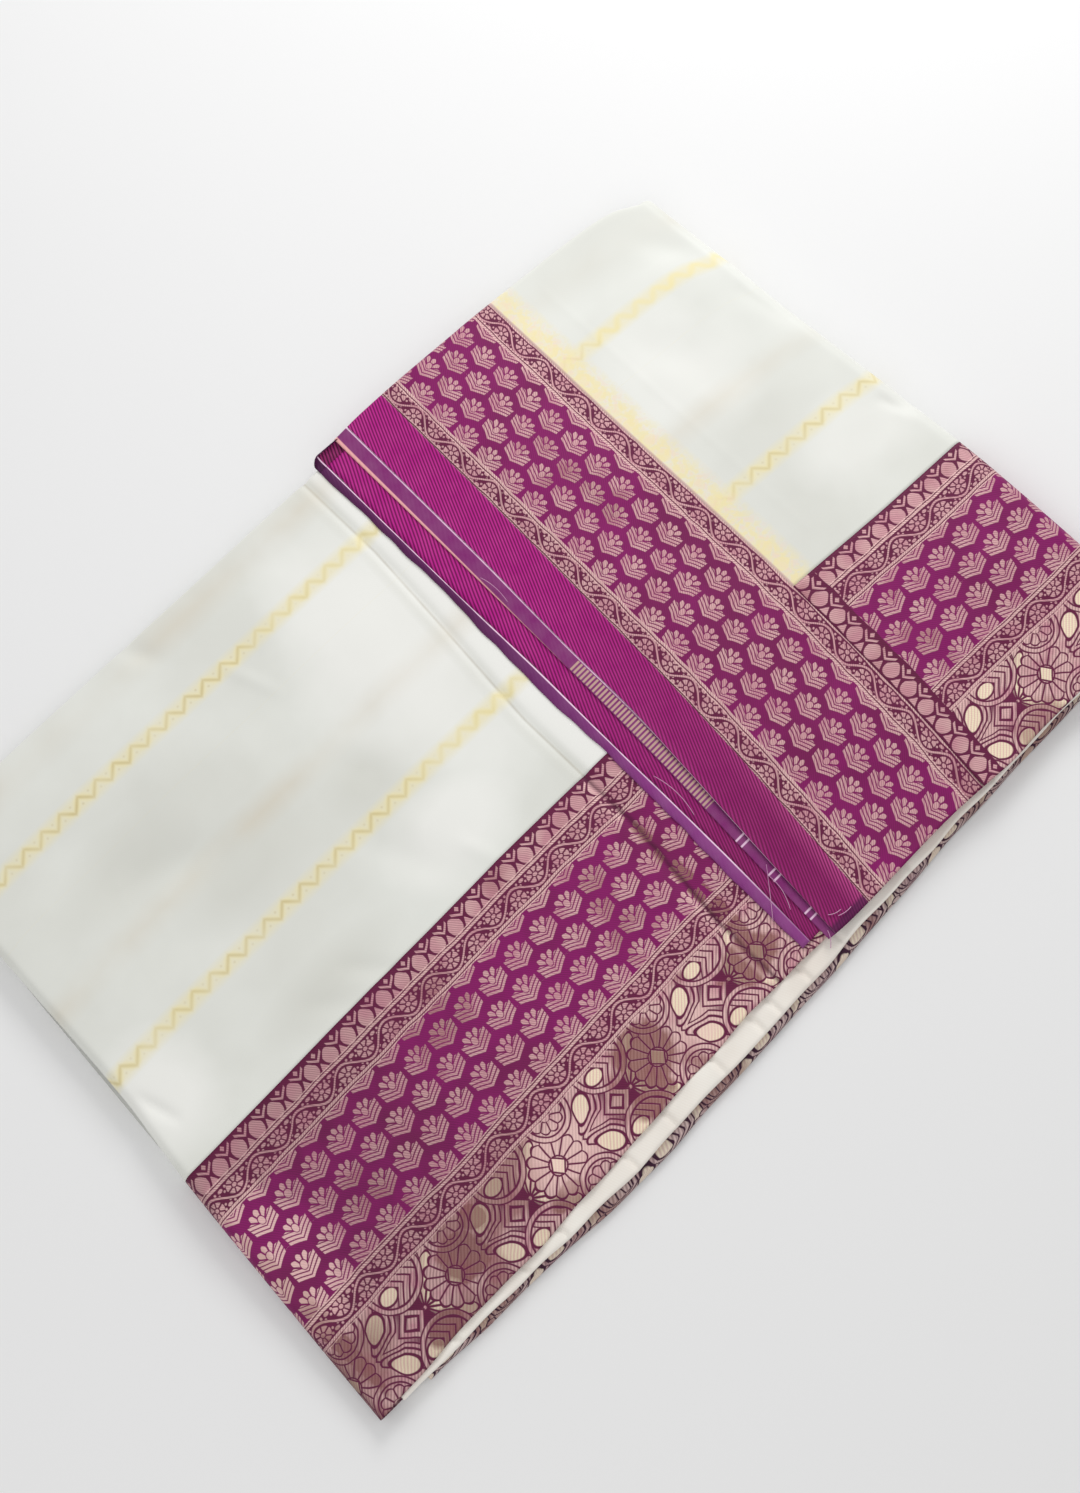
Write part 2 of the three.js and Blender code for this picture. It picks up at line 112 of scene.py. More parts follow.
LEFT_FOLD = table(End, (-295, -432), (-214, -428), (-65, -419), (19, -411), (131, -408), (290, -404))
RIGHT_FOLD = table(End, (-300, 428), (-146, 426), (-77, 425), (80, 416), (184, 411), (290, 407))
CROSS_FOLD = table(
    End, (-265, 7), (-233, 4), (-190, 5), (-130, 10), (-74, 13.5), (15, 13.5), (64, 17), (116, 22.5),
    (190, 27), (285, 28),
)
LOWER_EDGES = table(
    Across, (-430, -294, -65, 272), (-390, -291, -64, 281), (-326, -287, -62, 284),
    (-253, -286, -60, 285), (-161, -282, -58, 285), (-23, -276, -56, 285), (100, -277, -58, 284),
    (300, -277, -68, 275), (430, -277, -76, 258),
)
FLAP_EDGES = table(
    Across, (40, -277, -62, 292), (94, -281, -63, 294), (199, -280, -65, 290), (257, -283, -68, 287),
    (330, -284, -73, 282), (383, -284, -75, 274), (FLAP_LAST_X, -284, -76, 262),
)
FLAP_LINES = table(
    Along, (-281, 34, 42, 53, 61, 95, 223), (-190, 35, 45, 57, 67, 103, 231),
    (-60, 38, 46, 63, 76, 112, 237), (30, 38, 48, 66, 78, 116, 239),
    (130, 42, 48, 68, 82, 120, 240), (290, 43, 51, 71, 86, 125, 244),
)
WHITE_FOLD_EDGE = table(
    Edge, (-410, -294), (-311, -295), (-177, -298), (-77, -296), (10, -294), (100, -289), (270, -285),
    (410, -283),
)
FLOOR_FOLD_EDGE = table(
    Edge, (-390, -297), (-315, -300), (-265, -301), (-180, -306), (-93, -303), (5, -300), (77, -297),
    (190, -291), (390, -287),
)


@dataclass(frozen=True)
class Curve:
    """A smooth line through a few places: a cubic between each two, slopes from their neighbours."""

    at: Array
    value: Array

    @classmethod
    def of(cls, rows: Sequence[NamedTuple], along: str, across: str) -> Curve:
        """Read one column of a table against another.

        Args:
            rows: The table.
            along: The column that the curve is read at.
            across: The column that it gives.

        Returns:
            The curve.
        """
        at = np.array([getattr(row, along) for row in rows], float)
        value = np.array([getattr(row, across) for row in rows], float)
        return cls(at, value)

    @classmethod
    def each(cls, rows: Sequence[NamedTuple], along: str, *columns: str) -> tuple[Curve, ...]:
        """Read several columns of a table against one."""
        return tuple(cls.of(rows, along, column) for column in columns)

    def __call__(self, place: Array | float) -> Array:
        """Give the curve's value: a + (b - a)(3 - 2t)t^2, plus the slopes' share at both ends.

        Args:
            place: Where to read it, held within its ends.

        Returns:
            Its value there.
        """
        last = len(self.at) - 1
        before = np.maximum(np.arange(last + 1) - 1, 0)
        after = np.minimum(np.arange(last + 1) + 1, last)
        slope = (self.value[after] - self.value[before]) / (self.at[after] - self.at[before])
        place = np.asarray(place, float)
        i = np.clip(np.searchsorted(self.at, place) - 1, 0, last - 1)
        span = self.at[i + 1] - self.at[i]
        t = np.clip((place - self.at[i]) / span, 0.0, 1.0)
        leave = slope[i] * span * t * (1.0 - t) ** 2
        arrive = slope[i + 1] * span * t * t * (t - 1.0)
        return self.value[i] + (self.value[i + 1] - self.value[i]) * smooth(t) + leave + arrive


def smooth(value: Array | float) -> Array:
    """Ease from 0 to 1 as (3 - 2t)t^2, with t held between 0 and 1."""
    t = np.clip(value, 0.0, 1.0)
    return t * t * (3.0 - 2.0 * t)


def bell(away: Array, width: float) -> Array:
    """Fall from 1 towards 0 on both sides of a place, as exp(-(away / width)^2)."""
    return np.exp(-((away / width) ** 2))


class Swell(NamedTuple):
    """Uneven ground: a sum of sines in seeded directions and phases."""

    height: float
    length: float
    seed: int
    count: int = 7

    def at(self, x: Array, y: Array) -> Array:
        """Give the ground's height, between about minus and plus its height.

        Args:
            x: Places along.
            y: Places across.

        Returns:
            The height at each place.
        """
        draw = np.random.default_rng(self.seed)
        total = np.zeros(np.broadcast(x, y).shape)
        for _ in range(self.count):
            heading = draw.uniform(0.0, 2.0 * math.pi)
            pitch = self.length * draw.uniform(0.6, 1.6)
            phase = draw.uniform(0.0, 2.0 * math.pi)
            walk = x * math.cos(heading) + y * math.sin(heading)
            total = total + np.sin(2.0 * math.pi * walk / pitch + phase)
        return self.height * total / math.sqrt(self.count)


class Slope(NamedTuple):
    """A height that is lost or gained over a stretch: how much, from where and over how far."""

    by: float
    start: float
    over: float

    def at(self, place: Array) -> Array:
        """Give what is lost or gained at each place."""
        return self.by * smooth((place - self.start) / self.over)


# ---- Creases ----


class Crease(NamedTuple):
    """A soft trough (depth above 0) or ridge (below 0) from one place to another, in millimetres."""

    x0: float
    y0: float
    x1: float
    y1: float
    width: float
    depth: float


LOWER_CREASES = table(
    Crease,
    (-352, 192, -270, 158, 26, 1.5),
    (-305, 140, -235, 108, 18, 2.2),
    (-245, 112, -165, 94, 22, 1.7),
    (-330, 80, -265, 52, 24, 1.4),
    (-140, 22, -112, -40, 17, 2.2),
    (-112, 92, -100, 56, 14, 1.0),
    (-126, 214, -110, 170, 6, -0.8),
    (-402, 6, -392, -26, 5, 2.0),
    (-172, 282, -160, 262, 9, 1.8),
    (-60, 262, -20, 250, 16, 0.9),
    (-262, -38, -236, -58, 9, 1.0),
    (-222, -34, -196, -62, 8, 1.2),
    (-92, -26, -80, -60, 7, -0.8),
    (-150, -205, -84, -262, 20, 2.5),
    (-250, -236, -205, -282, 18, -1.7),
    (-330, -215, -292, -270, 20, 2.0),
    (-60, -232, -28, -270, 15, -1.5),
    (-396, -180, -372, -240, 14, 1.4),
    (6, -150, 30, -235, 15, 2.0),
    (-210, -120, -120, -150, 22, 0.9),
)
FLAP_CREASES = table(
    Crease,
    (284, 262, 281, -40, 3, -0.22),
    (300, 184, 332, 100, 20, 1.4),
    (398, 140, 412, 84, 9, 1.5),
    (404, -8, 416, -34, 5, 2.1),
    (372, 232, 392, 196, 12, 1.2),
    (150, 120, 176, 60, 26, 0.9),
    (205, -120, 232, -175, 20, 1.2),
    (120, -170, 168, -225, 24, 1.2),
    (282, -205, 318, -268, 18, 2.0),
    (352, -150, 384, -212, 18, -1.4),
    (96, 62, 104, -20, 9, 0.8),
)


def creased(x: Array, y: Array, creases: Sequence[Crease]) -> Array:
    """Add the creases' heights: each is -depth exp(-(d / width)^2), d the way to its line.

    Args:
        x: Places along.
        y: Places across.
        creases: The troughs and ridges.

    Returns:
        The height that they add at each place.
    """
    total = np.zeros(np.broadcast(x, y).shape)
    for one in creases:
        dx = one.x1 - one.x0
        dy = one.y1 - one.y0
        t = np.clip(((x - one.x0) * dx + (y - one.y0) * dy) / (dx * dx + dy * dy), 0.0, 1.0)
        away = np.hypot(x - one.x0 - t * dx, y - one.y0 - t * dy)
        total = total - one.depth * bell(away, one.width) * (0.55 + 1.8 * t * (1.0 - t))
    return total


# ---- The pack's form ----


@dataclass(frozen=True)
class Pack:
    """The plan and the heights of the folded pack, in millimetres."""

    lower_height: float = 22.0
    selvedge_drop: Slope = Slope(by=7.5, start=90, over=200)
    fold_drop: Slope = Slope(by=2.0, start=190, over=90)
    end_height: float = 4.5
    end_rise: Slope = Slope(by=4.5, start=8, over=90)
    flap_drop: Slope = Slope(by=0.6, start=150, over=130)
    left_x: float = -419.0
    right_x: float = 420.0
    left_roll: float = 9.0
    right_roll: float = 12.0
    band_x: float = 239.0
    middle_x: float = 18.0
    groove_depth: float = 2.5
    groove_width: float = 4.6
    groove_power: float = 1.5
    groove_fade: Slope = Slope(by=0.35, start=50, over=150)
    lift: float = 0.55
    lift_from: float = 17.0
    lift_width: float = 12.0
    crease_share: float = 1.3
    blend: float = 60.0
    lower_swells: tuple[Swell, ...] = (Swell(0.6, 190.0, 3), Swell(0.22, 70.0, 8))
    flap_swells: tuple[Swell, ...] = (Swell(0.6, 170.0, 21), Swell(0.2, 60.0, 5))
    left: Curve = Curve.of(LEFT_FOLD, "y", "x")
    right: Curve = Curve.of(RIGHT_FOLD, "y", "x")
    cross_fold: Curve = Curve.of(CROSS_FOLD, "y", "x")
    under_end: Curve = Curve.of(FLAP_LINES, "y", "under_end")
    under_line: Curve = Curve.of(FLAP_LINES, "y", "under_line")
    lines: tuple[Curve, ...] = Curve.each(FLAP_LINES, "y", "end", "twill", "vine", "band")

    @property
    def lower_start(self) -> float:
        """Where the flat top begins behind the left fold."""
        return self.left_x + self.left_roll

    @property
    def flap_stop(self) -> float:
        """The flap's line where its flat top ends before the right fold."""
        return 4.0 - self.right_roll / (self.right_x - self.band_x)

    def spread(self, x: Array, y: Array) -> Array:
        """Lean a nominal place along the pack with its two end folds: x' = c + (x - c) k(y).

        Args:
            x: Places along, in millimetres.
            y: Places across, in millimetres.

        Returns:
            The places along, leant.
        """
        centre = self.middle_x
        to_left = (self.left(y) - centre) / (self.left_x - centre)
        to_right = (self.right(y) - centre) / (self.right_x - centre)
        return centre + (x - centre) * np.where(x < centre, to_left, to_right)

    def flap_x(self, line: Array, y: Array) -> Array:
        """Find a line of the flap: 0 its cut end, 1 the twill, 2 the vine, 3 the body, 4 the fold.

        Args:
            line: The line, or a share between two of them.
            y: Places across, in millimetres.

        Returns:
            Its place along.
        """
        line, y = np.broadcast_arrays(line, y)
        places = np.stack([*(curve(y) for curve in self.lines), self.right(y)])
        i = np.clip(np.floor(line).astype(int), 0, 3)
        low = np.take_along_axis(places, i[None], 0)[0]
        high = np.take_along_axis(places, i[None] + 1, 0)[0]
        return low + (high - low) * (line - i)

    def lower_ground(self, y: Array) -> Array:
        """Give the lower pack's plain height, without the hand-placed creases."""
        return self.lower_height - self.selvedge_drop.at(-y) - self.fold_drop.at(y)

    def lower_top(self, x: Array, y: Array) -> Array:
        """Give the lower panel's height: the ground, the old cross fold, creases and soft waves.

        Args:
            x: Places along, in millimetres.
            y: Places across, in millimetres.

        Returns:
            The height, in millimetres.
        """
        away = x - self.cross_fold(y)
        groove = self.groove_depth * np.exp(-np.abs(away / self.groove_width) ** self.groove_power)
        lift = self.lift * bell(away - self.lift_from, self.lift_width)
        form = (lift - groove) * (1.0 - self.groove_fade.at(-y))
        soft = sum(swell.at(x, y) for swell in self.lower_swells)
        return self.lower_ground(y) + form + soft + self.crease_share * creased(x, y, LOWER_CREASES)

    def flap_rise(self, x: Array, y: Array) -> Array:
        """Give the flap's thickness over the lower pack, less near its cut end and its selvedge."""
        near = 1.0 - self.flap_drop.at(-y)
        return self.end_height + self.end_rise.at(x - self.lines[0](y)) * near

    def flap_top(self, x: Array, y: Array) -> Array:
        """Give the flap's height, with its own creases and waves.

        Args:
            x: Places along, in millimetres.
            y: Places across, in millimetres.

        Returns:
            The height, in millimetres.
        """
        soft = sum(swell.at(x, y) for swell in self.flap_swells)
        inside = smooth((x - self.lines[0](y)) / self.blend)
        below = self.lower_top(x, y) - self.lower_ground(y)
        form = below * (1.0 - inside) + (soft + creased(x, y, FLAP_CREASES)) * inside
        return self.lower_ground(y) + self.flap_rise(x, y) + form


PACK = Pack()


# ---- Meshes ----


def grid_mesh(name: str, points: Array, uv: Array, closed: bool = False) -> Object:
    """Make a mesh of quads over a grid of points, with its cloth's own measures as a UV map.

    Args:
        name: The piece's name.
        points: Places in millimetres on the plan, as columns by rows by 3.
        uv: The cloth's measures in metres, as columns by rows by 2.
        closed: Whether the last row meets the first and both ends get a face.

    Returns:
        The new object, at the origin.
    """
    columns, rows = points.shape[:2]
    index = np.arange(columns * rows).reshape(columns, rows)
    across = np.concatenate([index, index[:, :1]], axis=1) if closed else index
    corners = (across[:-1, :-1], across[1:, :-1], across[1:, 1:], across[:-1, 1:])
    faces = np.stack(corners, -1).reshape(-1, 4).tolist()
    if closed:
        faces += [index[0].tolist(), index[-1][::-1].tolist()]
    places = points.reshape(-1, 3) - (*PACK_CENTRE, 0.0)
    mesh = bpy.data.meshes.new(name)
    mesh.from_pydata((places * MM).tolist(), [], faces)
    layer = mesh.uv_layers.new(name="cloth")
    corner = np.empty(len(mesh.loops), dtype=np.int32)
    mesh.loops.foreach_get("vertex_index", corner)
    layer.data.foreach_set("uv", uv.reshape(-1, 2)[corner].astype(np.float32).ravel())
    mesh.polygons.foreach_set("use_smooth", np.ones(len(mesh.polygons), dtype=bool))
    mesh.update()
    piece = bpy.data.objects.new(name, mesh)
    bpy.context.collection.objects.link(piece)
    return piece


@dataclass(frozen=True)
class Columns:
    """Columns of a sheet along the pack: places, the turn round an end fold, the run under it."""

    place: Array
    turn: Array
    run: Array

    @property
    def flat(self) -> Array:
        """Mask the columns on the flat top, one row of the mask for each column."""
        return (self.turn == 0.0)[:, None]

    @classmethod
    def build(cls, top: Array, turns: int, under: int, run: float, first: bool) -> Columns:
        """Join a flat top with the steps round an end fold and the run below it.

        Args:
            top: The nominal places of the flat top, in order.
            turns: Steps round the fold.
            under: Steps along the run.
            run: The length of the run.
            first: Whether the fold comes before the top, as at the left, or after it.

        Returns:
            The columns in order along +X of the top.
        """
        edge = top[0] if first else top[-1]
        order = 1 if first else -1
        turn = np.linspace(math.pi, 0.0, turns + 1)[:-1]
        back = np.linspace(run, 0.0, under + 1)[:-1]
        place = np.concatenate([np.full(under + turns, edge), top[::order]])
        turned = np.concatenate([np.full(under, math.pi), turn, np.zeros(len(top))])
        runs = np.concatenate([back, np.zeros(turns + len(top))])
        return cls(place[::order], turned[::order], runs[::order])


@dataclass(frozen=True)
class Rows:
    """Rows of a sheet across the pack: shares of the flat width, the turn round a hem, the run back."""

    share: Array
    turn: Array
    run: Array

    @classmethod
    def flat(cls, count: int) -> Rows:
        """Make rows over the flat width alone."""
        return cls(np.linspace(0.0, 1.0, count), np.zeros(count), np.zeros(count))

    def with_hem(self, turns: int, under: int = 0, run: float = 0.0) -> Rows:
        """Add the steps round the width fold and back under it.

        Args:
            turns: Steps round the fold.
            under: Steps of the run back.
            run: The length of that run.

        Returns:
            The rows with those steps.
        """
        turn = np.linspace(0.0, math.pi, turns + 1)[1:]
        back = np.linspace(0.0, run, under + 1)[1:]
        return Rows(
            np.concatenate([self.share, np.ones(turns + under)]),
            np.concatenate([self.turn, turn, np.full(under, math.pi)]),
            np.concatenate([self.run, np.zeros(turns), back]),
        )


def rows_across(rows: Rows, low: Array, high: Array, radius: Array) -> tuple[Array, Array]:
    """Place the rows: flat ones between two edges, then y = e - r + r sin a, depth = r - r cos a.

    Args:
        rows: The rows.
        low: The near edge at each column.
        high: The width fold, or the far edge of a sheet with no hem, at each column.
        radius: The hem's radius at each column, 0 for a sheet with none.

    Returns:
        The places across and the depths below the sheet's outer face, both columns by rows.
    """
    low, high, radius = low[:, None], high[:, None], radius[:, None]
    flat = low + (high - radius - low) * rows.share
    y = flat + radius * np.sin(rows.turn) - rows.run
    return y, radius * (1.0 - np.cos(rows.turn))


def hairpin(flat: int, turns: int, back: int) -> tuple[Array, Array]:
    """Lay the rows of a fold: a flat run in, half a turn and a flat run back.

    Args:
        flat: Steps of the run in.
        turns: Steps of the turn, both its ends counted.
        back: Steps of the run back.

    Returns:
        The turn at each row, and the run as a share, 1 at both free edges.
    """
    turn = np.concatenate([np.zeros(flat), np.linspace(0.0, math.pi, turns), np.full(back, math.pi)])
    run_in = np.linspace(1.0, 0.0, flat + 1)[:-1]
    run_back = np.linspace(0.0, 1.0, back + 1)[1:]
    return turn[None, :], np.concatenate([run_in, np.zeros(turns), run_back])[None, :]


# ---- The pieces ----


class Slot(str, Enum):
    """The record's material slots."""

    BODY = "body_cloth"
    INNER = "inner_cloth"
    BORDER = "border_cloth"
    PALLU = "pallu_cloth"
    TWILL = "twill_cloth"
    HEADING = "heading_cloth"


class Cut(NamedTuple):
    """The CAD node that a piece replaces, its slot, its flat cut in metres and what it lies on."""

    node: str
    slot: Slot
    width: float
    length: float
    rests_on: tuple[str, ...] = ()


LOWER_PIECES = ("lower_body_cloth", "lower_border_cloth")
CUTS = {
    "inner_folds": Cut("hidden_folds", Slot.INNER, 0.570, 0.850),
    "lower_body_cloth": Cut("lower_body", Slot.BODY, 0.355, 0.870, ("inner_folds",)),
    "lower_border_cloth": Cut("lower_border", Slot.BORDER, 0.223, 0.870, ("inner_folds",)),
    "white_fold": Cut("inner_white_fold", Slot.BODY, 0.060, 0.811, ("border_fold",)),
    "border_fold": Cut("bottom_border", Slot.BORDER, 0.070, 0.768),
    "under_heading": Cut("heading_strip_under", Slot.HEADING, 0.010, 0.550, LOWER_PIECES),
    "under_twill_cloth": Cut("under_twill", Slot.TWILL, 0.060, 0.550, LOWER_PIECES),
    "covered_half": Cut("flap_under_layer", Slot.INNER, 0.300, 0.545, LOWER_PIECES),
    "fold_loop": Cut("flap_fold_loop", Slot.TWILL, 0.018, 0.028, ("lower_body_cloth",)),
    "heading_strip": Cut("heading_strip_top", Slot.HEADING, 0.011, 0.580, ("under_twill_cloth",)),
    "twill_cloth": Cut("pallu_twill", Slot.TWILL, 0.042, 0.580, ("under_twill_cloth",)),
    "figured_band": Cut("pallu_band", Slot.PALLU, 0.125, 0.580, ("covered_half",)),
    "flap_body_cloth": Cut("flap_body", Slot.BODY, 0.240, 0.370, ("covered_half",)),
    "flap_border_cloth": Cut("flap_border", Slot.BORDER, 0.240, 0.223, ("covered_half",)),
}


def weave(
    name: str,
    points: Array,
    along: Array,
    across: Array,
    material: Material,
    thickness: float = CLOTH,
) -> Object:
    """Make one piece of cloth in its CAD node's place.

    Args:
        name: The piece's name, which is also its row of the cuts.
        points: Its outer face in millimetres, columns by rows by 3.
        along: The cloth's own measure along, in millimetres, which spreads over the points.
        across: The cloth's own measure across, in the same way.
        material: Its finish.
        thickness: The cloth's thickness, or 0 for a closed form.

    Returns:
        The piece.
    """
    cut = CUTS[name]
    shape = points.shape[:2]
    measures = [np.broadcast_to(measure, shape) * MM + UV_SHIFT for measure in (along, across)]
    piece = grid_mesh(name, points, np.stack(measures, -1), closed=not thickness)
    if thickness:
        wall = piece.modifiers.new("thickness", "SOLIDIFY")
        wall.thickness = thickness * MM
        wall.offset = -1.0
        wall.use_even_offset = False
    piece.data.materials.append(material)
    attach(piece, "root")
    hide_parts(cut.node)
    return piece


@dataclass(frozen=True)
class Panel:
    """What the lower panel and the flap share: a plain body and its border on one set of columns."""

    name: str
    edges: tuple[Curve, ...]
    body_rows: Rows
    body_width: float
    sway: Swell
    ripple: Swell
    roll: float
    arc: float                      # the cloth's way round the end fold for each radian
    way: float                      # towards which end the end fold lies, as a sign
    border_rows: Rows = Rows.flat(90)
    border_start: float = 0.0
    ripple_fade: float = 7.0
    run: float = 20.0
    pack: Pack = PACK

    def surface(self, columns: Columns, y: Array, depth: Array) -> tuple[Array, Array]:
        """Place the cloth: on the top, round the end fold as an ellipse, and back under it.

        Args:
            columns: The columns.
            y: Places across, columns by rows.
            depth: Depths below the outer face, columns by rows.

        Returns:
            The points, and the cloth's own measure along, which runs on round the fold.
        """
        turn, run = columns.turn[:, None], columns.run[:, None]
        base, top, start = self.outline(columns.place[:, None], y)
        half = top / 2.0
        x = base + self.way * ((self.roll - depth) * np.sin(turn) - run)
        z = half + (half - depth) * np.cos(turn)
        return np.stack([x, y, z], -1), base - start + self.way * (self.arc * turn + run)

    def build(self, body: Material, figured: Material) -> list[Object]:
        """Make the panel's plain body and its border.

        Args:
            body: Finish of the plain body.
            figured: Finish of the border.

        Returns:
            The two pieces.
        """
        selvedge, border, fold = self.edges
        columns = self.columns()
        nominal = self.nominal(columns)
        radius = self.hem(nominal)
        rows = self.body_rows
        y, depth = rows_across(rows, border(nominal), fold(nominal), radius)
        points, along = self.surface(columns, y, depth)
        arc = radius[:, None] * rows.turn + rows.run
        across = BORDER_WIDTH + self.body_width * rows.share + arc
        made = [weave(f"{self.name}_body_cloth", points, along, across, body)]

        rows = self.border_rows
        near = selvedge(nominal) + self.sway.at(nominal, 0.0 * nominal)
        y, depth = rows_across(rows, near, border(nominal), 0.0 * nominal)
        points, along = self.surface(columns, y, depth)
        along = along + self.border_start
        fade = np.exp(-self.ripple_fade * rows.share)
        points[..., 2] += self.ripple.at(along, y) * fade * columns.flat
        across = BORDER_WIDTH * rows.share
        made.append(weave(f"{self.name}_border_cloth", points, along, across, figured))
        return made


@dataclass(frozen=True)
class LowerPanel(Panel):
    """The panel that shows at the left: plain body and border, round the left and the width fold."""

    name: str = "lower"
    edges: tuple[Curve, ...] = Curve.each(LOWER_EDGES, "x", "selvedge", "border", "fold")
    body_rows: Rows = Rows.flat(118).with_hem(9, 2, 9.0)
    body_width: float = 342.0
    sway: Swell = Swell(0.8, 75.0, 31, 5)
    ripple: Swell = Swell(0.75, 85.0, 12)
    shown_to: float = 118.0
    covered_to: float = 402.0
    step: float = 2.3
    hem_radius: float = 3.0
    roll: float = PACK.left_roll
    arc: float = 10.5
    way: float = -1.0

    def columns(self) -> Columns:
        """Lay fine columns where the panel shows and coarse ones under the flap.

        Returns:
            The columns.
        """
        shown = np.arange(self.pack.lower_start, self.shown_to, self.step)
        covered = np.linspace(self.shown_to, self.covered_to, 14)
        return Columns.build(np.concatenate([shown, covered]), 14, 4, self.run, first=True)

    def outline(self, place: Array, y: Array) -> tuple[Array, Array, Array | float]:
        """Give the places along, the heights there and where the measure along starts."""
        x = self.pack.spread(place, y)
        return x, self.pack.lower_top(x, y), 0.0

    def nominal(self, columns: Columns) -> Array:
        """Give the places along the pack where the columns read the panel's edges."""
        return columns.place

    def hem(self, nominal: Array) -> Array:
        """Give the width fold's radius."""
        return np.full(len(nominal), self.hem_radius)


@dataclass(frozen=True)
class Flap(Panel):
    """The end piece turned back over the pack: heading, twill, figured band, body and border."""

    name: str = "flap"
    edges: tuple[Curve, ...] = Curve.each(FLAP_EDGES, "x", "selvedge", "border", "fold")
    hem_turns: int = 12
    body_rows: Rows = Rows.flat(120).with_hem(12)
    body_width: float = 357.656
    sway: Swell = Swell(0.7, 70.0, 44, 5)
    ripple: Swell = Swell(0.7, 80.0, 61)
    border_start: float = FLAP_BODY_LENGTH
    seam: float = 0.3
    roll: float = PACK.right_roll
    arc: float = 15.5
    way: float = 1.0

    def columns(self) -> Columns:
        """Lay the columns from the figured band to the right fold, and round it."""
        return Columns.build(np.linspace(3.0, self.pack.flap_stop, 64), 16, 4, self.run, first=False)

    def outline(self, place: Array, y: Array) -> tuple[Array, Array, Array | float]:
        """Give the places along, the heights there and the figured band's line, where it starts."""
        x = self.pack.flap_x(place, y)
        return x, self.pack.flap_top(x, y), self.pack.lines[3](y)

    def nominal(self, columns: Columns) -> Array:
        """Give the places along the pack where the columns read the flap's edges."""
        return np.minimum(self.pack.flap_x(columns.place, 0.0 * columns.place), FLAP_LAST_X)

    def hem(self, nominal: Array) -> Array:
        """Give the width fold's radius: half of the flap's own thickness there."""
        return (self.pack.flap_rise(nominal, self.edges[2](nominal)) - self.seam) / 2.0

    def whole(self, first: float, last: float, count: int) -> tuple[Array, Array, Array, Array]:
        """Lay a stretch of the flap over the whole width, round its hem.

        Args:
            first: Its first line.
            last: Its last line.
            count: How many columns.

        Returns:
            The points, the measure across with the hem's arc, the columns' shares of the stretch
            and a mask of the flat rows.
        """
        places = np.linspace(first, last, count)
        columns = Columns(places, np.zeros(count), np.zeros(count))
        nominal = self.nominal(columns)
        rows = Rows.flat(206).with_hem(self.hem_turns)
        radius = self.hem(nominal)
        y, depth = rows_across(rows, self.edges[0](nominal), self.edges[2](nominal), radius)
        points, _ = self.surface(columns, y, depth)
        arc = y[:, -self.hem_turns - 1, None] + radius[:, None] * rows.turn
        shown = (rows.turn == 0.0)[None, :]
        return points, np.where(shown, y, arc), (places - first)[:, None], shown


@dataclass(frozen=True)
class FlapEnd:
    """The flap's figured band, twill and heading strip, each over the whole width."""

    flap: Flap = Flap()
    band_width: float = 125.0
    twill_width: float = 44.0
    strip_width: float = 11.0
    curl: Slope = Slope(by=1.0, start=20, over=90)
    curl_reach: float = 5.0
    curl_back: float = 1.6
    lift: float = 0.3
    curl_lift: float = 1.9
    lift_reach: float = 3.2
    strip_sink: float = 0.35
    strip_droop: float = 0.5
    strip_wave: Swell = Swell(0.12, 60.0, 17)

    def build(self, band: Material, end: Material) -> list[Object]:
        """Make the band, the twill and the heading strip.

        Args:
            band: The figured band's finish.
            end: The twill's and the heading strip's finish.

        Returns:
            The three pieces.
        """
        points, across, share, _ = self.flap.whole(2.0, 3.0, 48)
        made = [weave("figured_band", points, self.band_width * (1.0 - share), across, band)]

        points, across, share, shown = self.flap.whole(1.0, 2.0, 26)
        way = share * self.twill_width
        curl = self.curl.at(-points[..., 1])
        points[..., 2] += (self.lift + self.curl_lift * curl) * bell(way, self.lift_reach) * shown
        points[..., 0] -= self.curl_back * curl * bell(way, self.curl_reach) * shown
        made.append(weave("twill_cloth", points, self.strip_width + way, across, end))

        points, across, share, shown = self.flap.whole(0.0, 1.0, 12)
        y = points[..., 1]
        droop = self.strip_droop * (1.0 - share) ** 2 + self.strip_wave.at(0.0 * y, y) * (1.0 - share)
        points[..., 2] -= (self.strip_sink + droop) * shown
        made.append(weave("heading_strip", points, self.strip_width * share, across, end))
        return made


class Strip(NamedTuple):
    """A stretch of the lower half: its lines, columns, measure along, wave and height over the pack."""

    name: str
    start: Curve
    stop: Curve
    count: int
    from_end: float
    width: float
    wave: Swell
    height: Callable[[Array], Array]


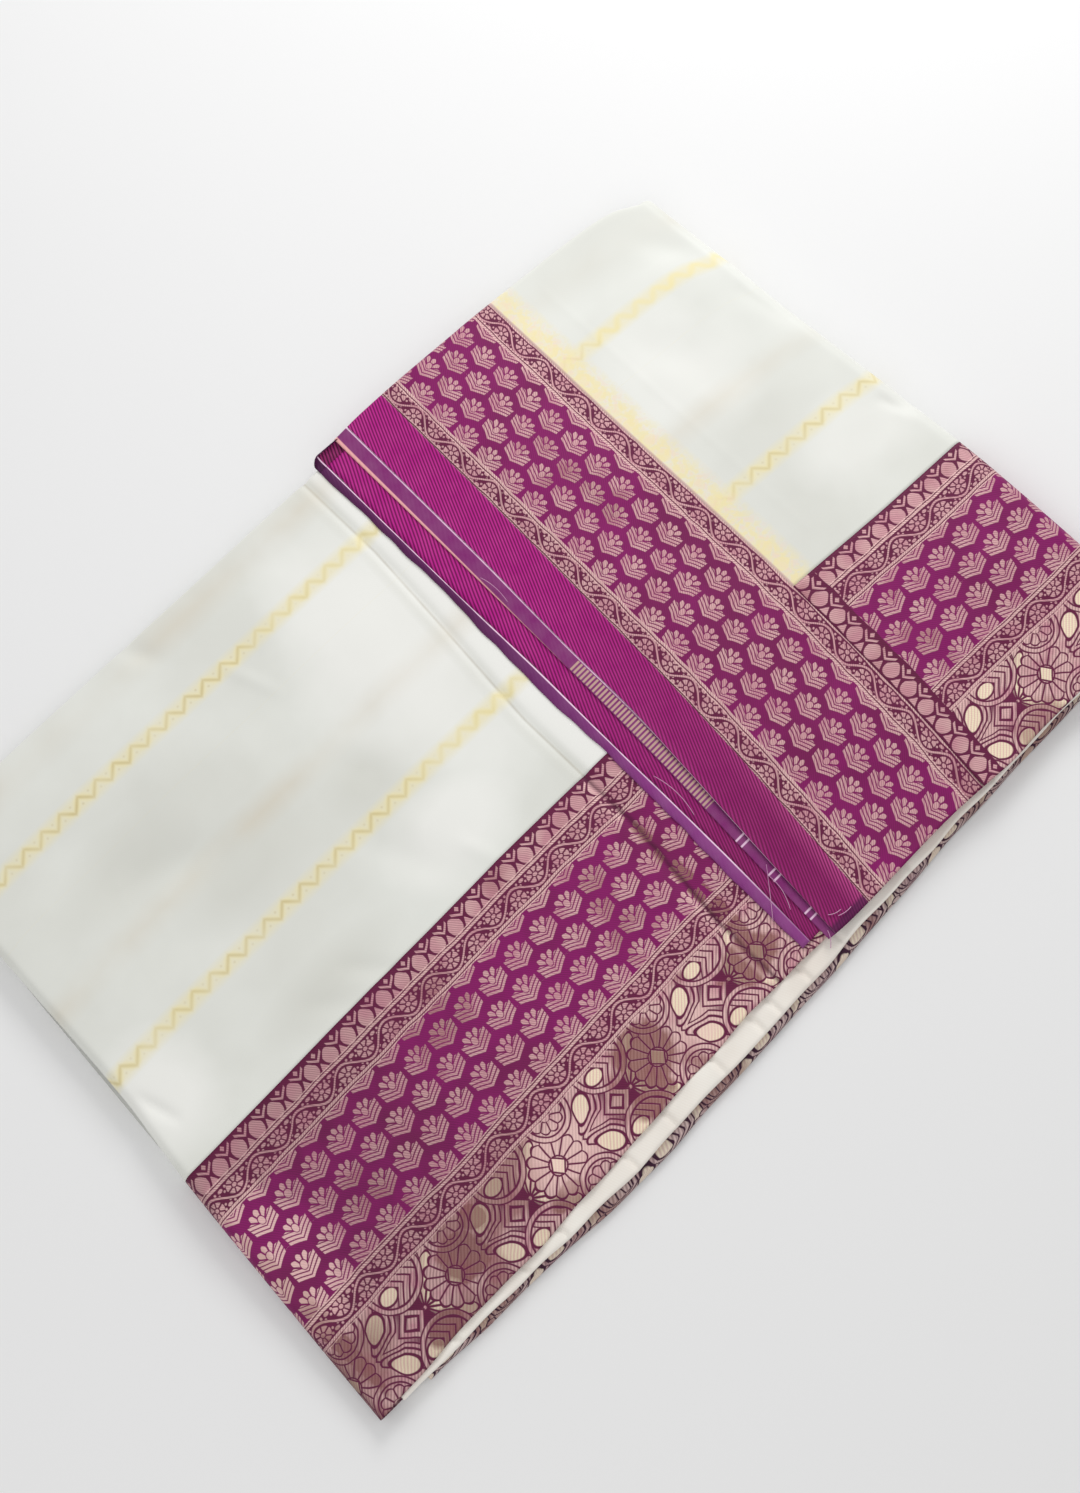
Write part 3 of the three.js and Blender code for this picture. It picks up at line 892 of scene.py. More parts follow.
@dataclass(frozen=True)
class UnderHalf:
    """The flap's lower half: its heading strip and twill stand out past the upper half's end."""

    pack: Pack = PACK
    flap: Flap = Flap()
    strips: tuple[Strip, ...] = (
        Strip(
            "under_heading", PACK.under_end, PACK.under_line, count=14, from_end=0.0, width=9.0,
            wave=Swell(0.5, 45.0, 13, 5), height=lambda share: 0.8 + 2.1 * np.sin(2.2 * share**0.7),
        ),
        Strip(
            "under_twill_cloth", PACK.under_line, PACK.lines[2], count=16, from_end=9.0, width=74.0,
            wave=Swell(0.5, 45.0, 11, 5), height=lambda share: 2.5 - 0.5 * bell(share, 0.06),
        ),
    )
    covered_from: float = 2.02
    covered_thickness: float = 1.2
    covered_share: float = 0.55     # how far up it lies, from the pack's top to the flap's
    loop_from: float = 43.0
    loop_length: float = 12.0
    loop_radius: float = 1.5        # at its upper half
    loop_open: float = 3.0          # more at its lower half
    loop_flare: float = 1.6         # and more there towards the cut end
    loop_shift: Slope = Slope(by=1.0, start=0.48, over=0.26)
    loop_corner: float = 5.5
    corner_length: float = 9.0
    loop_swell: float = 0.8

    def strip(self, strip: Strip, material: Material) -> Object:
        """Make a stretch between two lines of the flap on the lower pack.

        Args:
            strip: The stretch.
            material: Its finish.

        Returns:
            The piece.
        """
        share = np.linspace(0.0, 1.0, strip.count)[:, None]
        far = float(self.flap.edges[2](self.loop_from)) - self.loop_length
        y = np.linspace(SELVEDGE_STACK_Y, far, 180)[None, :] * np.ones((strip.count, 1))
        start, stop = strip.start(y), strip.stop(y)
        x = start + (stop - start) * share + strip.wave.at(0.0 * y, y) * (1.0 - share)
        z = self.pack.lower_top(x, y) + strip.height(share)
        along = strip.from_end + strip.width * share
        return weave(strip.name, np.stack([x, y, z], -1), along, y, material)

    def build(
        self, end: Material, curl: Material, inner: Material
    ) -> list[Object]:
        """Make the strip, the twill, the covered rest and the open loop at the width fold.

        Args:
            end: The strip's and the twill's finish.
            curl: The loop's finish.
            inner: The finish of the covered rest.

        Returns:
            The four pieces.
        """
        made = [self.strip(strip, end) for strip in self.strips]
        return [*made, self.covered(inner), self.loop(curl)]

    def covered(self, inner: Material) -> Object:
        """Make the covered rest of the lower half, under the band and the body.

        Args:
            inner: Its finish.

        Returns:
            The piece.
        """
        line = np.linspace(self.covered_from, self.pack.flap_stop, 40)
        nominal = np.minimum(self.pack.flap_x(line, 0.0 * line), FLAP_LAST_X)
        share = np.linspace(0.0, 1.0, 90)
        far = self.flap.edges[2](nominal) - 2.0 * self.flap.hem(nominal)
        y = SELVEDGE_STACK_Y + (far[:, None] - SELVEDGE_STACK_Y) * share
        x = self.pack.flap_x(line[:, None], y)
        up = self.covered_share
        z = (1.0 - up) * self.pack.lower_top(x, y) + up * self.pack.flap_top(x, y)
        return weave("covered_half", np.stack([x, y, z], -1), x, y, inner, self.covered_thickness)

    def loop(self, curl: Material) -> Object:
        """Make the loop at the width fold, where the end turns up from the lower half to the upper.

        Args:
            curl: Its finish.

        Returns:
            The piece.
        """
        share = np.linspace(0.0, 1.0, 22)[:, None]
        turn, run = hairpin(6, 40, 4)
        edge = float(self.flap.edges[2](self.loop_from))
        last = float(self.pack.lines[0](edge))
        up = 1.0 - smooth(turn / math.pi)
        start = self.loop_from + (last + 1.0 - self.loop_from) * self.loop_shift.at(turn / math.pi)
        x = start + (last + 4.0 - start) * share
        radius = self.loop_radius + (self.loop_open + self.loop_flare * (1.0 - share)) * up
        back = (self.loop_length - radius) * run
        near = np.clip(1.0 - (x - self.loop_from) / self.corner_length, 0.0, 1.0)
        corner = self.loop_corner * near**2
        y = edge - radius + (radius - corner) * np.sin(turn) - back
        z = self.pack.lower_top(x, 0.0 * x + edge - self.loop_length) + 0.5
        z = z + radius * (1.0 - np.cos(turn)) + self.loop_swell * bell(share, 0.25) * np.sin(turn)
        across = 270.0 + radius * turn - back
        points = np.stack([x, y, z], -1)
        return weave("fold_loop", points[:, ::-1], (x - start)[:, ::-1], across[:, ::-1], curl)


@dataclass(frozen=True)
class SelvedgeFolds:
    """Two panels folded back on themselves, which peep out below the lower border."""

    white: Curve = Curve.of(WHITE_FOLD_EDGE, "x", "y")
    floor: Curve = Curve.of(FLOOR_FOLD_EDGE, "x", "y")
    dent_places: tuple[float, ...] = (
        -352, -281, -243, -171, -128, -74, -31, -12, 22, 61, 139, 236, 301
    )
    dent_depth: float = 2.2
    dent_width: float = 2.4
    squeeze: float = 0.35
    tilt: float = 0.25
    inset: float = 0.5
    rise_swell: Swell = Swell(0.45, 24.0, 77)
    side_swell: Swell = Swell(0.5, 34.0, 78)

    def fold(
        self, edge: Curve, span: tuple[float, float], level: tuple[float, float], seed: int
    ) -> Array:
        """Lay one folded panel: its top run, its round side and its run back below.

        Args:
            edge: Where its round side reaches.
            span: Its two ends along the pack.
            level: Its underside and its top.
            seed: Which waviness.

        Returns:
            The points, columns by rows by 3.
        """
        x = np.linspace(*span, 480)[:, None]
        turn, run = hairpin(10, 17, 10)
        wave = Swell(1.0, 95.0, seed, 6).at(x, 0.0 * x)
        radius = (level[1] - level[0]) / 2.0 - self.squeeze * (1.0 + wave / 2.5)
        nose = edge(x) + Swell(0.42, 60.0, seed + 1, 5).at(x, 0.0 * x) + self.inset
        back = (SELVEDGE_STACK_Y - nose - radius) * run
        y = nose + radius - radius * np.sin(turn) + back
        z = (level[0] + level[1]) / 2.0 + radius * np.cos(turn) + self.tilt * wave * np.sin(turn)
        return np.stack([x + 0.0 * y, y, z], -1)[:, ::-1]

    def dents(self, x: Array) -> Array:
        """Add narrow dents across the fold: each is a exp(-(d / w)^2), d the way along to it."""
        return self.dent_depth * sum(bell(x - place, self.dent_width) for place in self.dent_places)

    def build(self, body: Material, figured: Material) -> list[Object]:
        """Make the white fold and the border fold under it.

        Args:
            body: Finish of the white fold.
            figured: Finish of the border fold.

        Returns:
            The two pieces.
        """
        points = self.fold(self.white, (-409.0, 402.0), (6.4, 12.3), 71)
        x = points[..., 0]
        points[..., 2] += self.rise_swell.at(x, points[..., 1]) - self.dents(x)
        points[..., 1] += self.side_swell.at(x, points[..., 2])
        row = np.arange(1, points.shape[1] + 1)
        made = [weave("white_fold", points, x, 300.0 + 1.2 * row, body)]
        points = self.fold(self.floor, (-386.0, 382.0), (0.0, 6.1), 83)
        made.append(weave("border_fold", points, points[..., 0], 10.0 + 1.6 * row, figured))
        return made


@dataclass(frozen=True)
class InnerFolds:
    """The folds inside the pack as one closed form: selvedges on one side, double folds on the other."""

    pack: Pack = PACK
    panel: LowerPanel = LowerPanel()
    selvedges: int = 14
    doubles: int = 7
    first: float = -410.0
    last: float = 402.0
    first_round: float = 7.6
    last_round: float = 9.6
    end_rise: Slope = Slope(by=1.2, start=372, over=12)
    cover: float = 5.4              # from the pack's top down to the form
    known: tuple[float, float] = (-405.0, 400.0)
    near_y: float = -272.5
    near_sway: float = 0.8
    near_round: float = 1.3
    far_inset: float = 6.6
    far_sway: float = 0.9
    far_round: float = 2.8
    far_power: float = 0.55

    def build(self, inner: Material) -> Object:
        """Loft one section after another along the pack and close both ends.

        Args:
            inner: Its finish.

        Returns:
            The piece.
        """
        nominal = np.concatenate([
            [-417.0, -415.0, -412.5], np.linspace(self.first, self.last, 190), [405.0, 408.0, 410.5]
        ])
        sections = [self.section(float(x)) for x in nominal]
        points = np.stack([section[0] for section in sections])
        across = np.stack([section[1] for section in sections])
        return weave("inner_folds", points, points[..., 0], across, inner, thickness=0.0)

    def sway(self, pitch: float, x: float, step: float, count: int) -> Array:
        """Give each layer its own slow way in and out along the pack."""
        return np.sin(pitch * x + step * np.arange(count))

    def section(self, x: float) -> tuple[Array, Array]:
        """Draw one closed section: up the selvedges, over the top, down the round folds and back below.

        Args:
            x: Its nominal place along the pack.

        Returns:
            The section's points and the cloth's measure across at each.
        """
        near = np.linspace(0.0, 1.0, self.selvedges * 5 + 1)
        far = np.linspace(0.0, 1.0, self.doubles * 9 + 1)
        past = max(self.first - x, 0.0) / self.first_round + max(x - self.last, 0.0) / self.last_round
        squeeze = math.sqrt(max(0.0, 1.0 - past**2))
        floor = float(self.end_rise.at(abs(x)))
        nose = float(self.panel.edges[2](np.clip(x, *self.known))) - self.far_inset
        layer = np.minimum((near * self.selvedges).astype(int), self.selvedges - 1)
        double = np.minimum((far * self.doubles).astype(int), self.doubles - 1)
        wobble = self.sway(0.037, x, 2.4, self.selvedges) + math.sin(0.013 * x + 1.1)
        round_side = np.abs(np.sin(math.pi * near * self.selvedges))
        bulge = np.abs(np.sin(math.pi * far * self.doubles)) ** self.far_power
        y_near = self.near_y + self.near_sway * wobble[layer] - self.near_round * round_side
        sway = self.sway(0.021, x, 1.7, self.doubles)[double]
        y_far = nose + self.far_sway * sway + self.far_round * bulge
        over = np.linspace(0.0, 1.0, 60)[1:-1]
        back = np.linspace(0.0, 1.0, 12)[1:-1]
        y_top = y_near[-1] + (y_far[0] - y_near[-1]) * over
        y_back = y_far[-1] + (y_near[0] - y_far[-1]) * back
        y = np.concatenate([y_near, y_top, y_far, y_back])
        share = np.concatenate([near, np.ones(len(over)), 1.0 - far, np.zeros(len(back))])
        place = self.pack.spread(np.full(len(y), x), y)
        ground = self.pack.lower_ground(y) - self.cover
        middle = (ground + floor) / 2.0
        z = middle + (floor + (ground - floor) * share - middle) * squeeze
        across = np.concatenate([
            260.0 * near * self.selvedges % 40.0, 240.0 + 300.0 * over, 560.0 + 120.0 * far, 0.0 * back
        ])
        return np.stack([place, y, z], -1), across


class Thread(NamedTuple):
    """A loose thread: a start, a middle and an end on the plan, and how high it bows over the cloth."""

    x0: float
    y0: float
    x1: float
    y1: float
    x2: float
    y2: float
    bow: float


THREADS = table(
    Thread,
    (61, -206, 45, -226, 33, -240, 1.6),
    (56, -214, 57, -229, 49, -243, 1.4),
    (57, -274, 55, -280, 49, -285, 0.4),
    (71, -272, 77, -275, 83, -274, 0.7),
    (66, -266, 70, -270, 76, -270, 0.6),
    (70, 118, 74, 104, 71, 88, 0.8),
    (50, -96, 56, -118, 50, -140, 1.2),
)


@dataclass(frozen=True)
class LooseThreads:
    """Loose threads along the cut ends, as fine tubes that lie on the cloth."""

    pack: Pack = PACK
    radius: float = 0.28
    steps: int = 18
    sides: int = 6
    lift: float = 0.75
    under_height: float = 2.9
    ease: float = 3.0

    def tube(self, thread: Thread) -> Array:
        """Bend one tube along p = a(1 - t)^2 + 2bt(1 - t) + ct^2, raised by its bow where t is 1/2.

        Args:
            thread: The thread.

        Returns:
            Its points, ring by ring.
        """
        t = np.linspace(0.0, 1.0, self.steps)
        weights = np.stack([(1.0 - t) ** 2, 2.0 * t * (1.0 - t), t * t])
        x = np.array([thread.x0, thread.x1, thread.x2]) @ weights
        y = np.array([thread.y0, thread.y1, thread.y2]) @ weights
        under = self.pack.lower_top(x, y) + self.under_height
        share = smooth((x - self.pack.lines[0](y) + self.ease) / self.ease)
        z = under + (np.maximum(self.pack.flap_top(x, y), under) - under) * share + self.lift
        z = z + thread.bow * np.sin(math.pi * t)
        turn = np.linspace(0.0, 2.0 * math.pi, self.sides, endpoint=False)
        ahead = np.stack([np.gradient(x), np.gradient(y)])
        ahead = (ahead / np.hypot(*ahead))[..., None]
        side = np.cos(turn) * self.radius
        rise = np.sin(turn) * self.radius
        x, y, z = x[:, None], y[:, None], z[:, None]
        return np.stack([x - ahead[1] * side, y + ahead[0] * side, z + rise], -1)

    def build(self, material: Material) -> Object:
        """Make all the threads as one piece.

        Args:
            material: Their finish.

        Returns:
            The piece.
        """
        parts = []
        for thread in THREADS:
            points = self.tube(thread)
            parts.append(grid_mesh("thread", points, np.zeros((*points.shape[:2], 2)), closed=True))
        with bpy.context.temp_override(active_object=parts[0], selected_editable_objects=parts):
            bpy.ops.object.join()
        piece = parts[0]
        piece.name = "loose_threads"
        piece.data.materials.append(material)
        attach(piece, "root")
        return piece


# ---- Arithmetic in node trees ----


@dataclass(frozen=True)
class Field:
    """A value in a node tree. Arithmetic on it adds Math nodes; lengths are in millimetres."""

    tree: Tree
    socket: bpy.types.NodeSocket

    def math(self, operation: str, *others: Field | float, clamp: bool = False) -> Field:
        """Add one Math node.

        Args:
            operation: The node's operation.
            others: Its further inputs.
            clamp: Whether the result stays between 0 and 1.

        Returns:
            The node's result.
        """
        node = self.tree.nodes.new("ShaderNodeMath")
        node.operation = operation
        node.use_clamp = clamp
        for slot, value in zip(node.inputs, (self, *others)):
            feed(self.tree, slot, value)
        return Field(self.tree, node.outputs[0])

    def __add__(self, other: Field | float) -> Field:
        """Add a value."""
        return self.math("ADD", other)

    def __sub__(self, other: Field | float) -> Field:
        """Take a value away."""
        return self.math("SUBTRACT", other)

    def __mul__(self, other: Field | float) -> Field:
        """Multiply by a value."""
        return self.math("MULTIPLY", other)

    def __rsub__(self, other: float) -> Field:
        """Subtract from a number, as -1 times this plus the number."""
        return self.math("MULTIPLY_ADD", -1.0, other)

    def abs(self) -> Field:
        """Drop the sign."""
        return self.math("ABSOLUTE")

    def low(self, *others: Field | float) -> Field:
        """Take the smallest."""
        return self.each("MINIMUM", others)

    def high(self, *others: Field | float) -> Field:
        """Take the largest."""
        return self.each("MAXIMUM", others)

    def each(self, operation: str, others: Sequence[Field | float]) -> Field:
        """Take an operation with one value after another.

        Args:
            operation: The operation.
            others: The values.

        Returns:
            The result.
        """
        result = self
        for other in others:
            result = result.math(operation, other)
        return result

    def wave(self, period: float) -> Field:
        """Take a sine of this period."""
        return (self * (2.0 * math.pi / period)).math("SINE")

    def swing(self, period: float) -> Field:
        """Take a sine of this period, from 0 to 1."""
        return self.wave(period) * 0.5 + 0.5

    def wrap(self, period: float) -> Field:
        """Repeat from minus half a period to half a period."""
        return self.math("WRAP", period / 2.0, -period / 2.0)

    def odd(self, period: float) -> Field:
        """Give 1 in every other period and 0 in the rest; each is centred on its multiple."""
        return self.math("MULTIPLY_ADD", 1.0 / period, 0.5).math("FLOOR").math("FLOORED_MODULO", 2.0)

    def below(self, edge: float, soft: float = 0.5) -> Field:
        """Give 1 under an edge and 0 over it, eased over a soft width."""
        return self.math("MULTIPLY_ADD", -1.0 / soft, edge / soft + 0.5, clamp=True)

    def above(self, edge: float, soft: float = 0.5) -> Field:
        """Give 1 over an edge and 0 under it, eased over a soft width."""
        return self.math("MULTIPLY_ADD", 1.0 / soft, 0.5 - edge / soft, clamp=True)

    def off(self, place: float) -> Field:
        """Take the way to a place."""
        return (self - place).abs()

    def near(self, place: float, half: float, soft: float = 0.5) -> Field:
        """Give 1 within a half width of a place."""
        return self.off(place).below(half, soft)

    def length(self, other: Field) -> Field:
        """Take the length of two legs: the root of the sum of their squares."""
        return (self * self + other * other).math("SQRT")

    def choose(self, first: Field, second: Field) -> Field:
        """Take the first value where this mask is 1 and the second where it is 0."""
        return first * self + second * (1.0 - self)


def feed(tree: Tree, slot: bpy.types.NodeSocket, value: Field | float | tuple) -> None:
    """Link a field to a socket, or set the socket's own value.

    Args:
        tree: The tree of the socket.
        slot: The socket.
        value: The field, the number or the colour.
    """
    if isinstance(value, Field):
        tree.links.new(value.socket, slot)
    else:
        slot.default_value = value


@dataclass(frozen=True)
class Motif:
    """A node group: its inputs are lengths on the cloth in millimetres, and its outputs are masks."""

    name: str
    inputs: tuple[str, ...]
    outputs: tuple[str, ...]
    draw: Callable[..., Sequence[Field]]

    def tree(self) -> Tree:
        """Build the group once and find it again afterwards.

        Returns:
            The group.
        """
        made = bpy.data.node_groups.get(self.name)
        if made is not None:
            return made
        tree = bpy.data.node_groups.new(self.name, "ShaderNodeTree")
        for names, way in ((self.inputs, "INPUT"), (self.outputs, "OUTPUT")):
            for name in names:
                tree.interface.new_socket(name, in_out=way, socket_type="NodeSocketFloat")
        enter = tree.nodes.new("NodeGroupInput")
        leave = tree.nodes.new("NodeGroupOutput")
        results = self.draw(*(Field(tree, enter.outputs[name]) for name in self.inputs))
        for name, result in zip(self.outputs, results):
            tree.links.new(result.socket, leave.inputs[name])
        return tree

    def place(self, first: Field, *others: Field | float) -> tuple[Field, ...]:
        """Put the group into the tree of its first input.

        Args:
            first: The group's first input.
            others: Its other inputs, in their order.

        Returns:
            Its outputs, in their order.
        """
        tree = first.tree
        node = tree.nodes.new("ShaderNodeGroup")
        node.node_tree = self.tree()
        for name, value in zip(self.inputs, (first, *others)):
            feed(tree, node.inputs[name], value)
        return tuple(Field(tree, node.outputs[name]) for name in self.outputs)


# ---- The woven motifs ----

VINE_PERIOD = 46.3
DROP_PITCH = 19.3
SCROLL_PITCH = 110.0
SCROLL_MIDDLE = 33.0
BORDER_LINES = (21.0, 40.4, 139.6, 158.8)   # depths of the twin lines from the edge of the body
BORDER_VINES = (31.2, 149.5)
BAND_VINES = (9.6, 116.4)
STRIPES = (495.6, 316.8)                    # the body's zigzags, from the selvedge


def draw_lotus(x: Field, y: Field) -> Sequence[Field]:
    """Draw one lotus: a bud, five petals fanned towards +Y over it, and three nested bracts.

    Args:
        x: Millimetres to its right.
        y: Millimetres up from its middle.

    Returns:
        Its figure.
    """
    wide = x.abs()
    bow = y - wide * 0.58 + x * x * 0.008
    bracts = (bow + 6.2).wrap(3.3).abs().below(1.12) * bow.above(-10.8) * bow.below(-1.5)
    bracts = bracts * (wide - bow * 0.1).below(12.2)
    bud = (x * 1.3).length(y - 1.2)
    lifted = y + 1.6
    radius = x.length(lifted)
    aside = x.math("ARCTAN2", lifted).wrap(math.radians(33.0)).abs() * radius
    petal = (aside - radius * 0.27).below(-0.55) * (radius + aside * aside * 0.45).below(12.0)
    petal = petal * bud.above(4.1) * bow.above(-0.9)
    heart = bud.below(3.2) * bow.above(-4.2)
    return ((bracts * bud.above(3.9)).high(petal, heart),)


def draw_vine(along: Field, across: Field, height: Field) -> Sequence[Field]:
    """Draw a waving vine with a rosette in each half wave and small leaves outside it.

    Args:
        along: The measure along the cloth.
        across: The way from the vine's middle.
        height: How far it swings.

    Returns:
        Its figure.
    """
    half = VINE_PERIOD / 2.0
    quarter = VINE_PERIOD / 4.0
    stem = (along + quarter).wave(VINE_PERIOD) * height
    off_stem = (across - stem).abs()
    step = along.wrap(half)
    rise = across * (1.0 - along.odd(half) * 2.0) + 2.3
    radius = (step * 0.8).length(rise)
    turn = step.math("ARCTAN2", rise)
    aside = turn.wrap(math.radians(51.43)).abs() * radius
    petals = (aside - radius * 0.42).below(-0.45) * radius.near(4.1, 1.75)
    rosette = (petals * off_stem.above(1.7)).high(radius.below(1.5))
    leaf_step = (along - quarter).wrap(half)
    outer = across.abs() - height
    leaf = (leaf_step * 0.6).length(outer).below(1.3) * off_stem.above(1.5)
    sprig = (leaf_step.abs() - 5.0).length(outer - 0.3).below(1.0)
    tip = (leaf_step.abs() - 2.6).length(outer + 2.6).below(0.9) * off_stem.above(1.6)
    return (off_stem.below(0.9).high(rosette, leaf, sprig, tip),)


def draw_drops(along: Field, down: Field) -> Sequence[Field]:
    """Draw a row of pointed drops with a sprig between each two.

    Args:
        along: The measure along the cloth.
        down: The depth in their row.

    Returns:
        The drops and the sprigs.
    """
    x = along.wrap(DROP_PITCH)
    y = down - 12.4
    point = (0.0 - y - 2.0).high(0.0)
    drop = (x * (point * 0.11 + 1.0)).length(y * 0.86).below(6.2)
    wide = (along - DROP_PITCH / 2.0).wrap(DROP_PITCH).abs()
    bow = down - 9.6 + wide * 0.85
    leaves = bow.abs().below(1.15) * wide.below(6.6)
    tip = (wide * 1.1 + down.off(3.9)).below(2.4)
    foot = (wide - (down - 12.0) * 0.52).below(0.0) * down.above(12.4) * down.below(19.2)
    return drop, leaves.high(tip, foot) * (1.0 - drop)


def draw_twin(along: Field, across: Field) -> Sequence[Field]:
    """Draw a bold line with a thin strand beside it, both twisted like cord."""
    twist = (along + across * 1.2).wave(2.6) * 0.2 + 0.8
    return across.abs().below(1.05, 0.4) * twist, across.near(2.4, 0.5, 0.35) * twist


def petals_about(x: Field, y: Field, pitch: float, gap: float) -> tuple[Field, Field, Field]:
    """Give polar petals about a point as a distance, below 0 inside them.

    Args:
        x: The way from the point along the axis of the first petal.
        y: The way from it at a right angle.
        pitch: The angle from one petal to the next, in radians.
        gap: Half the gap between two petals.

    Returns:
        The distance into a petal, the radius and the turn.
    """
    radius = x.length(y)
    turn = y.math("ARCTAN2", x)
    aside = turn.wrap(pitch).abs() * radius
    return aside - radius * (pitch / 2.0) + gap, radius + aside * aside * 0.12, turn


def draw_scroll(along: Field, down: Field) -> Sequence[Field]:
    """Draw the scrollwork: half roundels at both edges, and a palmette, buds and leaves between.

    The zone repeats along and mirrors about its middle line. Each shape is a distance, below 0
    inside it, and one that comes later keeps clear of those before it.

    Args:
        along: The measure along the cloth.
        down: The depth from the edge of the body.

    Returns:
        Its gold shapes and its other shapes.
    """
    u = along.wrap(SCROLL_PITCH)
    n = down.off(SCROLL_MIDDLE)
    edge = SCROLL_MIDDLE - n
    small = (along + 56.0).wrap(SCROLL_PITCH)
    round_small = small.length(edge)
    round_big = u.length(edge)
    discs = (round_small - 19.3).low(round_big - 24.3)
    rings = (round_small.off(17.7) - 1.5).low(round_big.off(22.7) - 1.5)
    fan_small, reach, _ = petals_about(edge + 2.0, small, 0.6, 0.55)
    fan_small = fan_small.high(reach - 14.6, 6.2 - reach)
    barb = u + edge.off(8.5) * 0.9
    barbs = ((barb - 8.8).wrap(6.6).abs() - 2.5).high(round_big - 19.6, 0.5 - barb)
    oval = (((u + 9.5) * 0.72).length(edge - 8.0) - 5.4).high(round_big - 19.6)

    ax = u + 33.0
    an = n - 16.5
    s = (ax + an) * 0.707
    t = (an - ax) * 0.707
    point = (0.0 - s - 1.0).high(0.0)
    almond = (s * 0.62).length(t * (point * 0.045 + 1.0))
    bud = (almond - 6.7).high(-0.7 - discs)
    collar = (almond.off(9.6) - 1.25).high(t - 1.5)
    collar = collar.low((almond.off(13.6) - 1.2).high(t + 2.0)).high(0.8 - discs)

    middle = (along - 36.0).wrap(SCROLL_PITCH)
    fan, fan_reach, _ = petals_about(middle, n, math.pi / 7.0, 0.6)
    fan = fan.high(fan_reach - 22.5, 7.8 - fan_reach, 0.9 - discs.low(almond - 8.0))
    heart = (middle * 0.9).abs() + n * 0.75 - 5.4

    lean = u - 5.0 - n * n * 0.012
    leaf, leaf_reach, leaf_turn = petals_about(lean, n * 0.9, 0.46, 0.6)
    leaf = leaf.high(leaf_reach - 31.0, 2.5 - leaf_reach, leaf_turn.abs() - 1.5)
    leaf = leaf.high(0.9 - discs.low(fan_reach - 23.4, almond - 9.0))
    q = (u + 10.0).abs()
    star = (q * 0.9 + n - 5.2) * 0.7
    star = star.low((q + n).off(10.4) * 0.7 - 1.5).high(0.9 - discs, 15.5 - almond)

    gold = bud.low(leaf, heart, oval)
    pink = rings.low(fan_small, round_small - 3.9, barbs, collar, fan, star)
    rest = gold.low(pink).above(1.35, 0.6)
    return gold.below(-0.3, 0.6), pink.below(-0.1, 0.6).high(rest)


LOTUS = Motif("Lotus", ("X", "Y"), ("Figure",), draw_lotus)
VINE = Motif("Vine", ("Along", "Across", "Height"), ("Figure",), draw_vine)
DROPS = Motif("Drops", ("Along", "Down"), ("Drop", "Sprig"), draw_drops)
TWIN = Motif("Twin_line", ("Along", "Across"), ("Bold", "Thin"), draw_twin)
SCROLL = Motif("Scrollwork", ("Along", "Down"), ("Gold", "Pink"), draw_scroll)


def lotus_rows(along: Field, down: Field, pitch: float, rise: float) -> tuple[Field, Field]:
    """Find the place within a lotus; every other row is shifted by half a pitch, petals up."""
    return (along - down.odd(rise) * (pitch / 2.0)).wrap(pitch), down.wrap(rise) * -1.0


def draw_lotus_field(along: Field, down: Field) -> Sequence[Field]:
    """Draw rows of lotuses."""
    return LOTUS.place(*lotus_rows(along, down, 27.3, 22.2))


LOTUS_FIELD = Motif("Lotus_field", ("Along", "Down"), ("Figure",), draw_lotus_field)


def draw_border(along: Field, down: Field) -> Sequence[Field]:
    """Draw the border by its depth from the edge of the body: drops, vine, lotuses, vine, scrolls.

    Args:
        along: The measure along the cloth.
        down: The depth from the edge of the body.

    Returns:
        Its figure, its gold, its lines and where its lotuses lie.
    """
    drop, sprig = DROPS.place(along + 198.8, down)
    upper = down.below(90.0, 1.0)
    vine_across = upper.choose(*(middle - down for middle in BORDER_VINES))
    vine, = VINE.place(upper.choose(along + 138.0, along + 142.0), vine_across, 6.3)
    lotus, = LOTUS_FIELD.place(along + 204.4, down - 63.6)
    gold, pink = SCROLL.place(along + 137.5, down - 160.5)
    in_lotus = down.near(90.0, 47.6, 0.4)
    in_scroll = down.above(160.6, 0.4)
    first, *others = (down.off(line) for line in BORDER_LINES)
    bold, thin = TWIN.place(along, (down - 30.7).wrap(118.9).abs() - 9.7)
    lines = bold.high(thin) * first.low(*others).below(3.0, 0.4)
    figure = (sprig.high(drop) * down.near(10.5, 9.3, 0.4)).high(
        vine * vine_across.abs().below(7.9, 0.4), lotus * in_lotus, pink * in_scroll, lines
    )
    return figure, gold * in_scroll, lines, in_lotus


def draw_band(along: Field, across: Field) -> Sequence[Field]:
    """Draw the cross band by its way from the body: vine, lotuses on their sides, vine.

    Args:
        along: The way from the body.
        across: The measure across it.

    Returns:
        Its figure, its lines and where its lotuses lie.
    """
    upper = across.below(60.0, 1.0)
    vine_across = upper.choose(*(across - middle for middle in BAND_VINES))
    vine, = VINE.place(along + 88.0, vine_across, 5.9)
    x, y = lotus_rows(along + 88.0, across - 18.0, 27.4, 20.3)
    lotus, = LOTUS.place(x, y * 1.09)
    in_lotus = across.near(62.9, 43.8, 0.4)
    side = (across - 9.4).wrap(107.0).abs() - 9.2
    bold, thin = TWIN.place(along, side * -1.0)
    lines = bold.high(thin * across.abs().above(5.0))
    figure = (vine * vine_across.abs().below(7.2, 0.4)).high(lotus * in_lotus, lines)
    return figure, lines, in_lotus


def draw_weave(along: Field, across: Field) -> Sequence[Field]:
    """Draw the fine weave: binding on the slant, and ribs across."""
    return (along * 0.8 + across * 0.62).swing(1.7), across.swing(0.9)


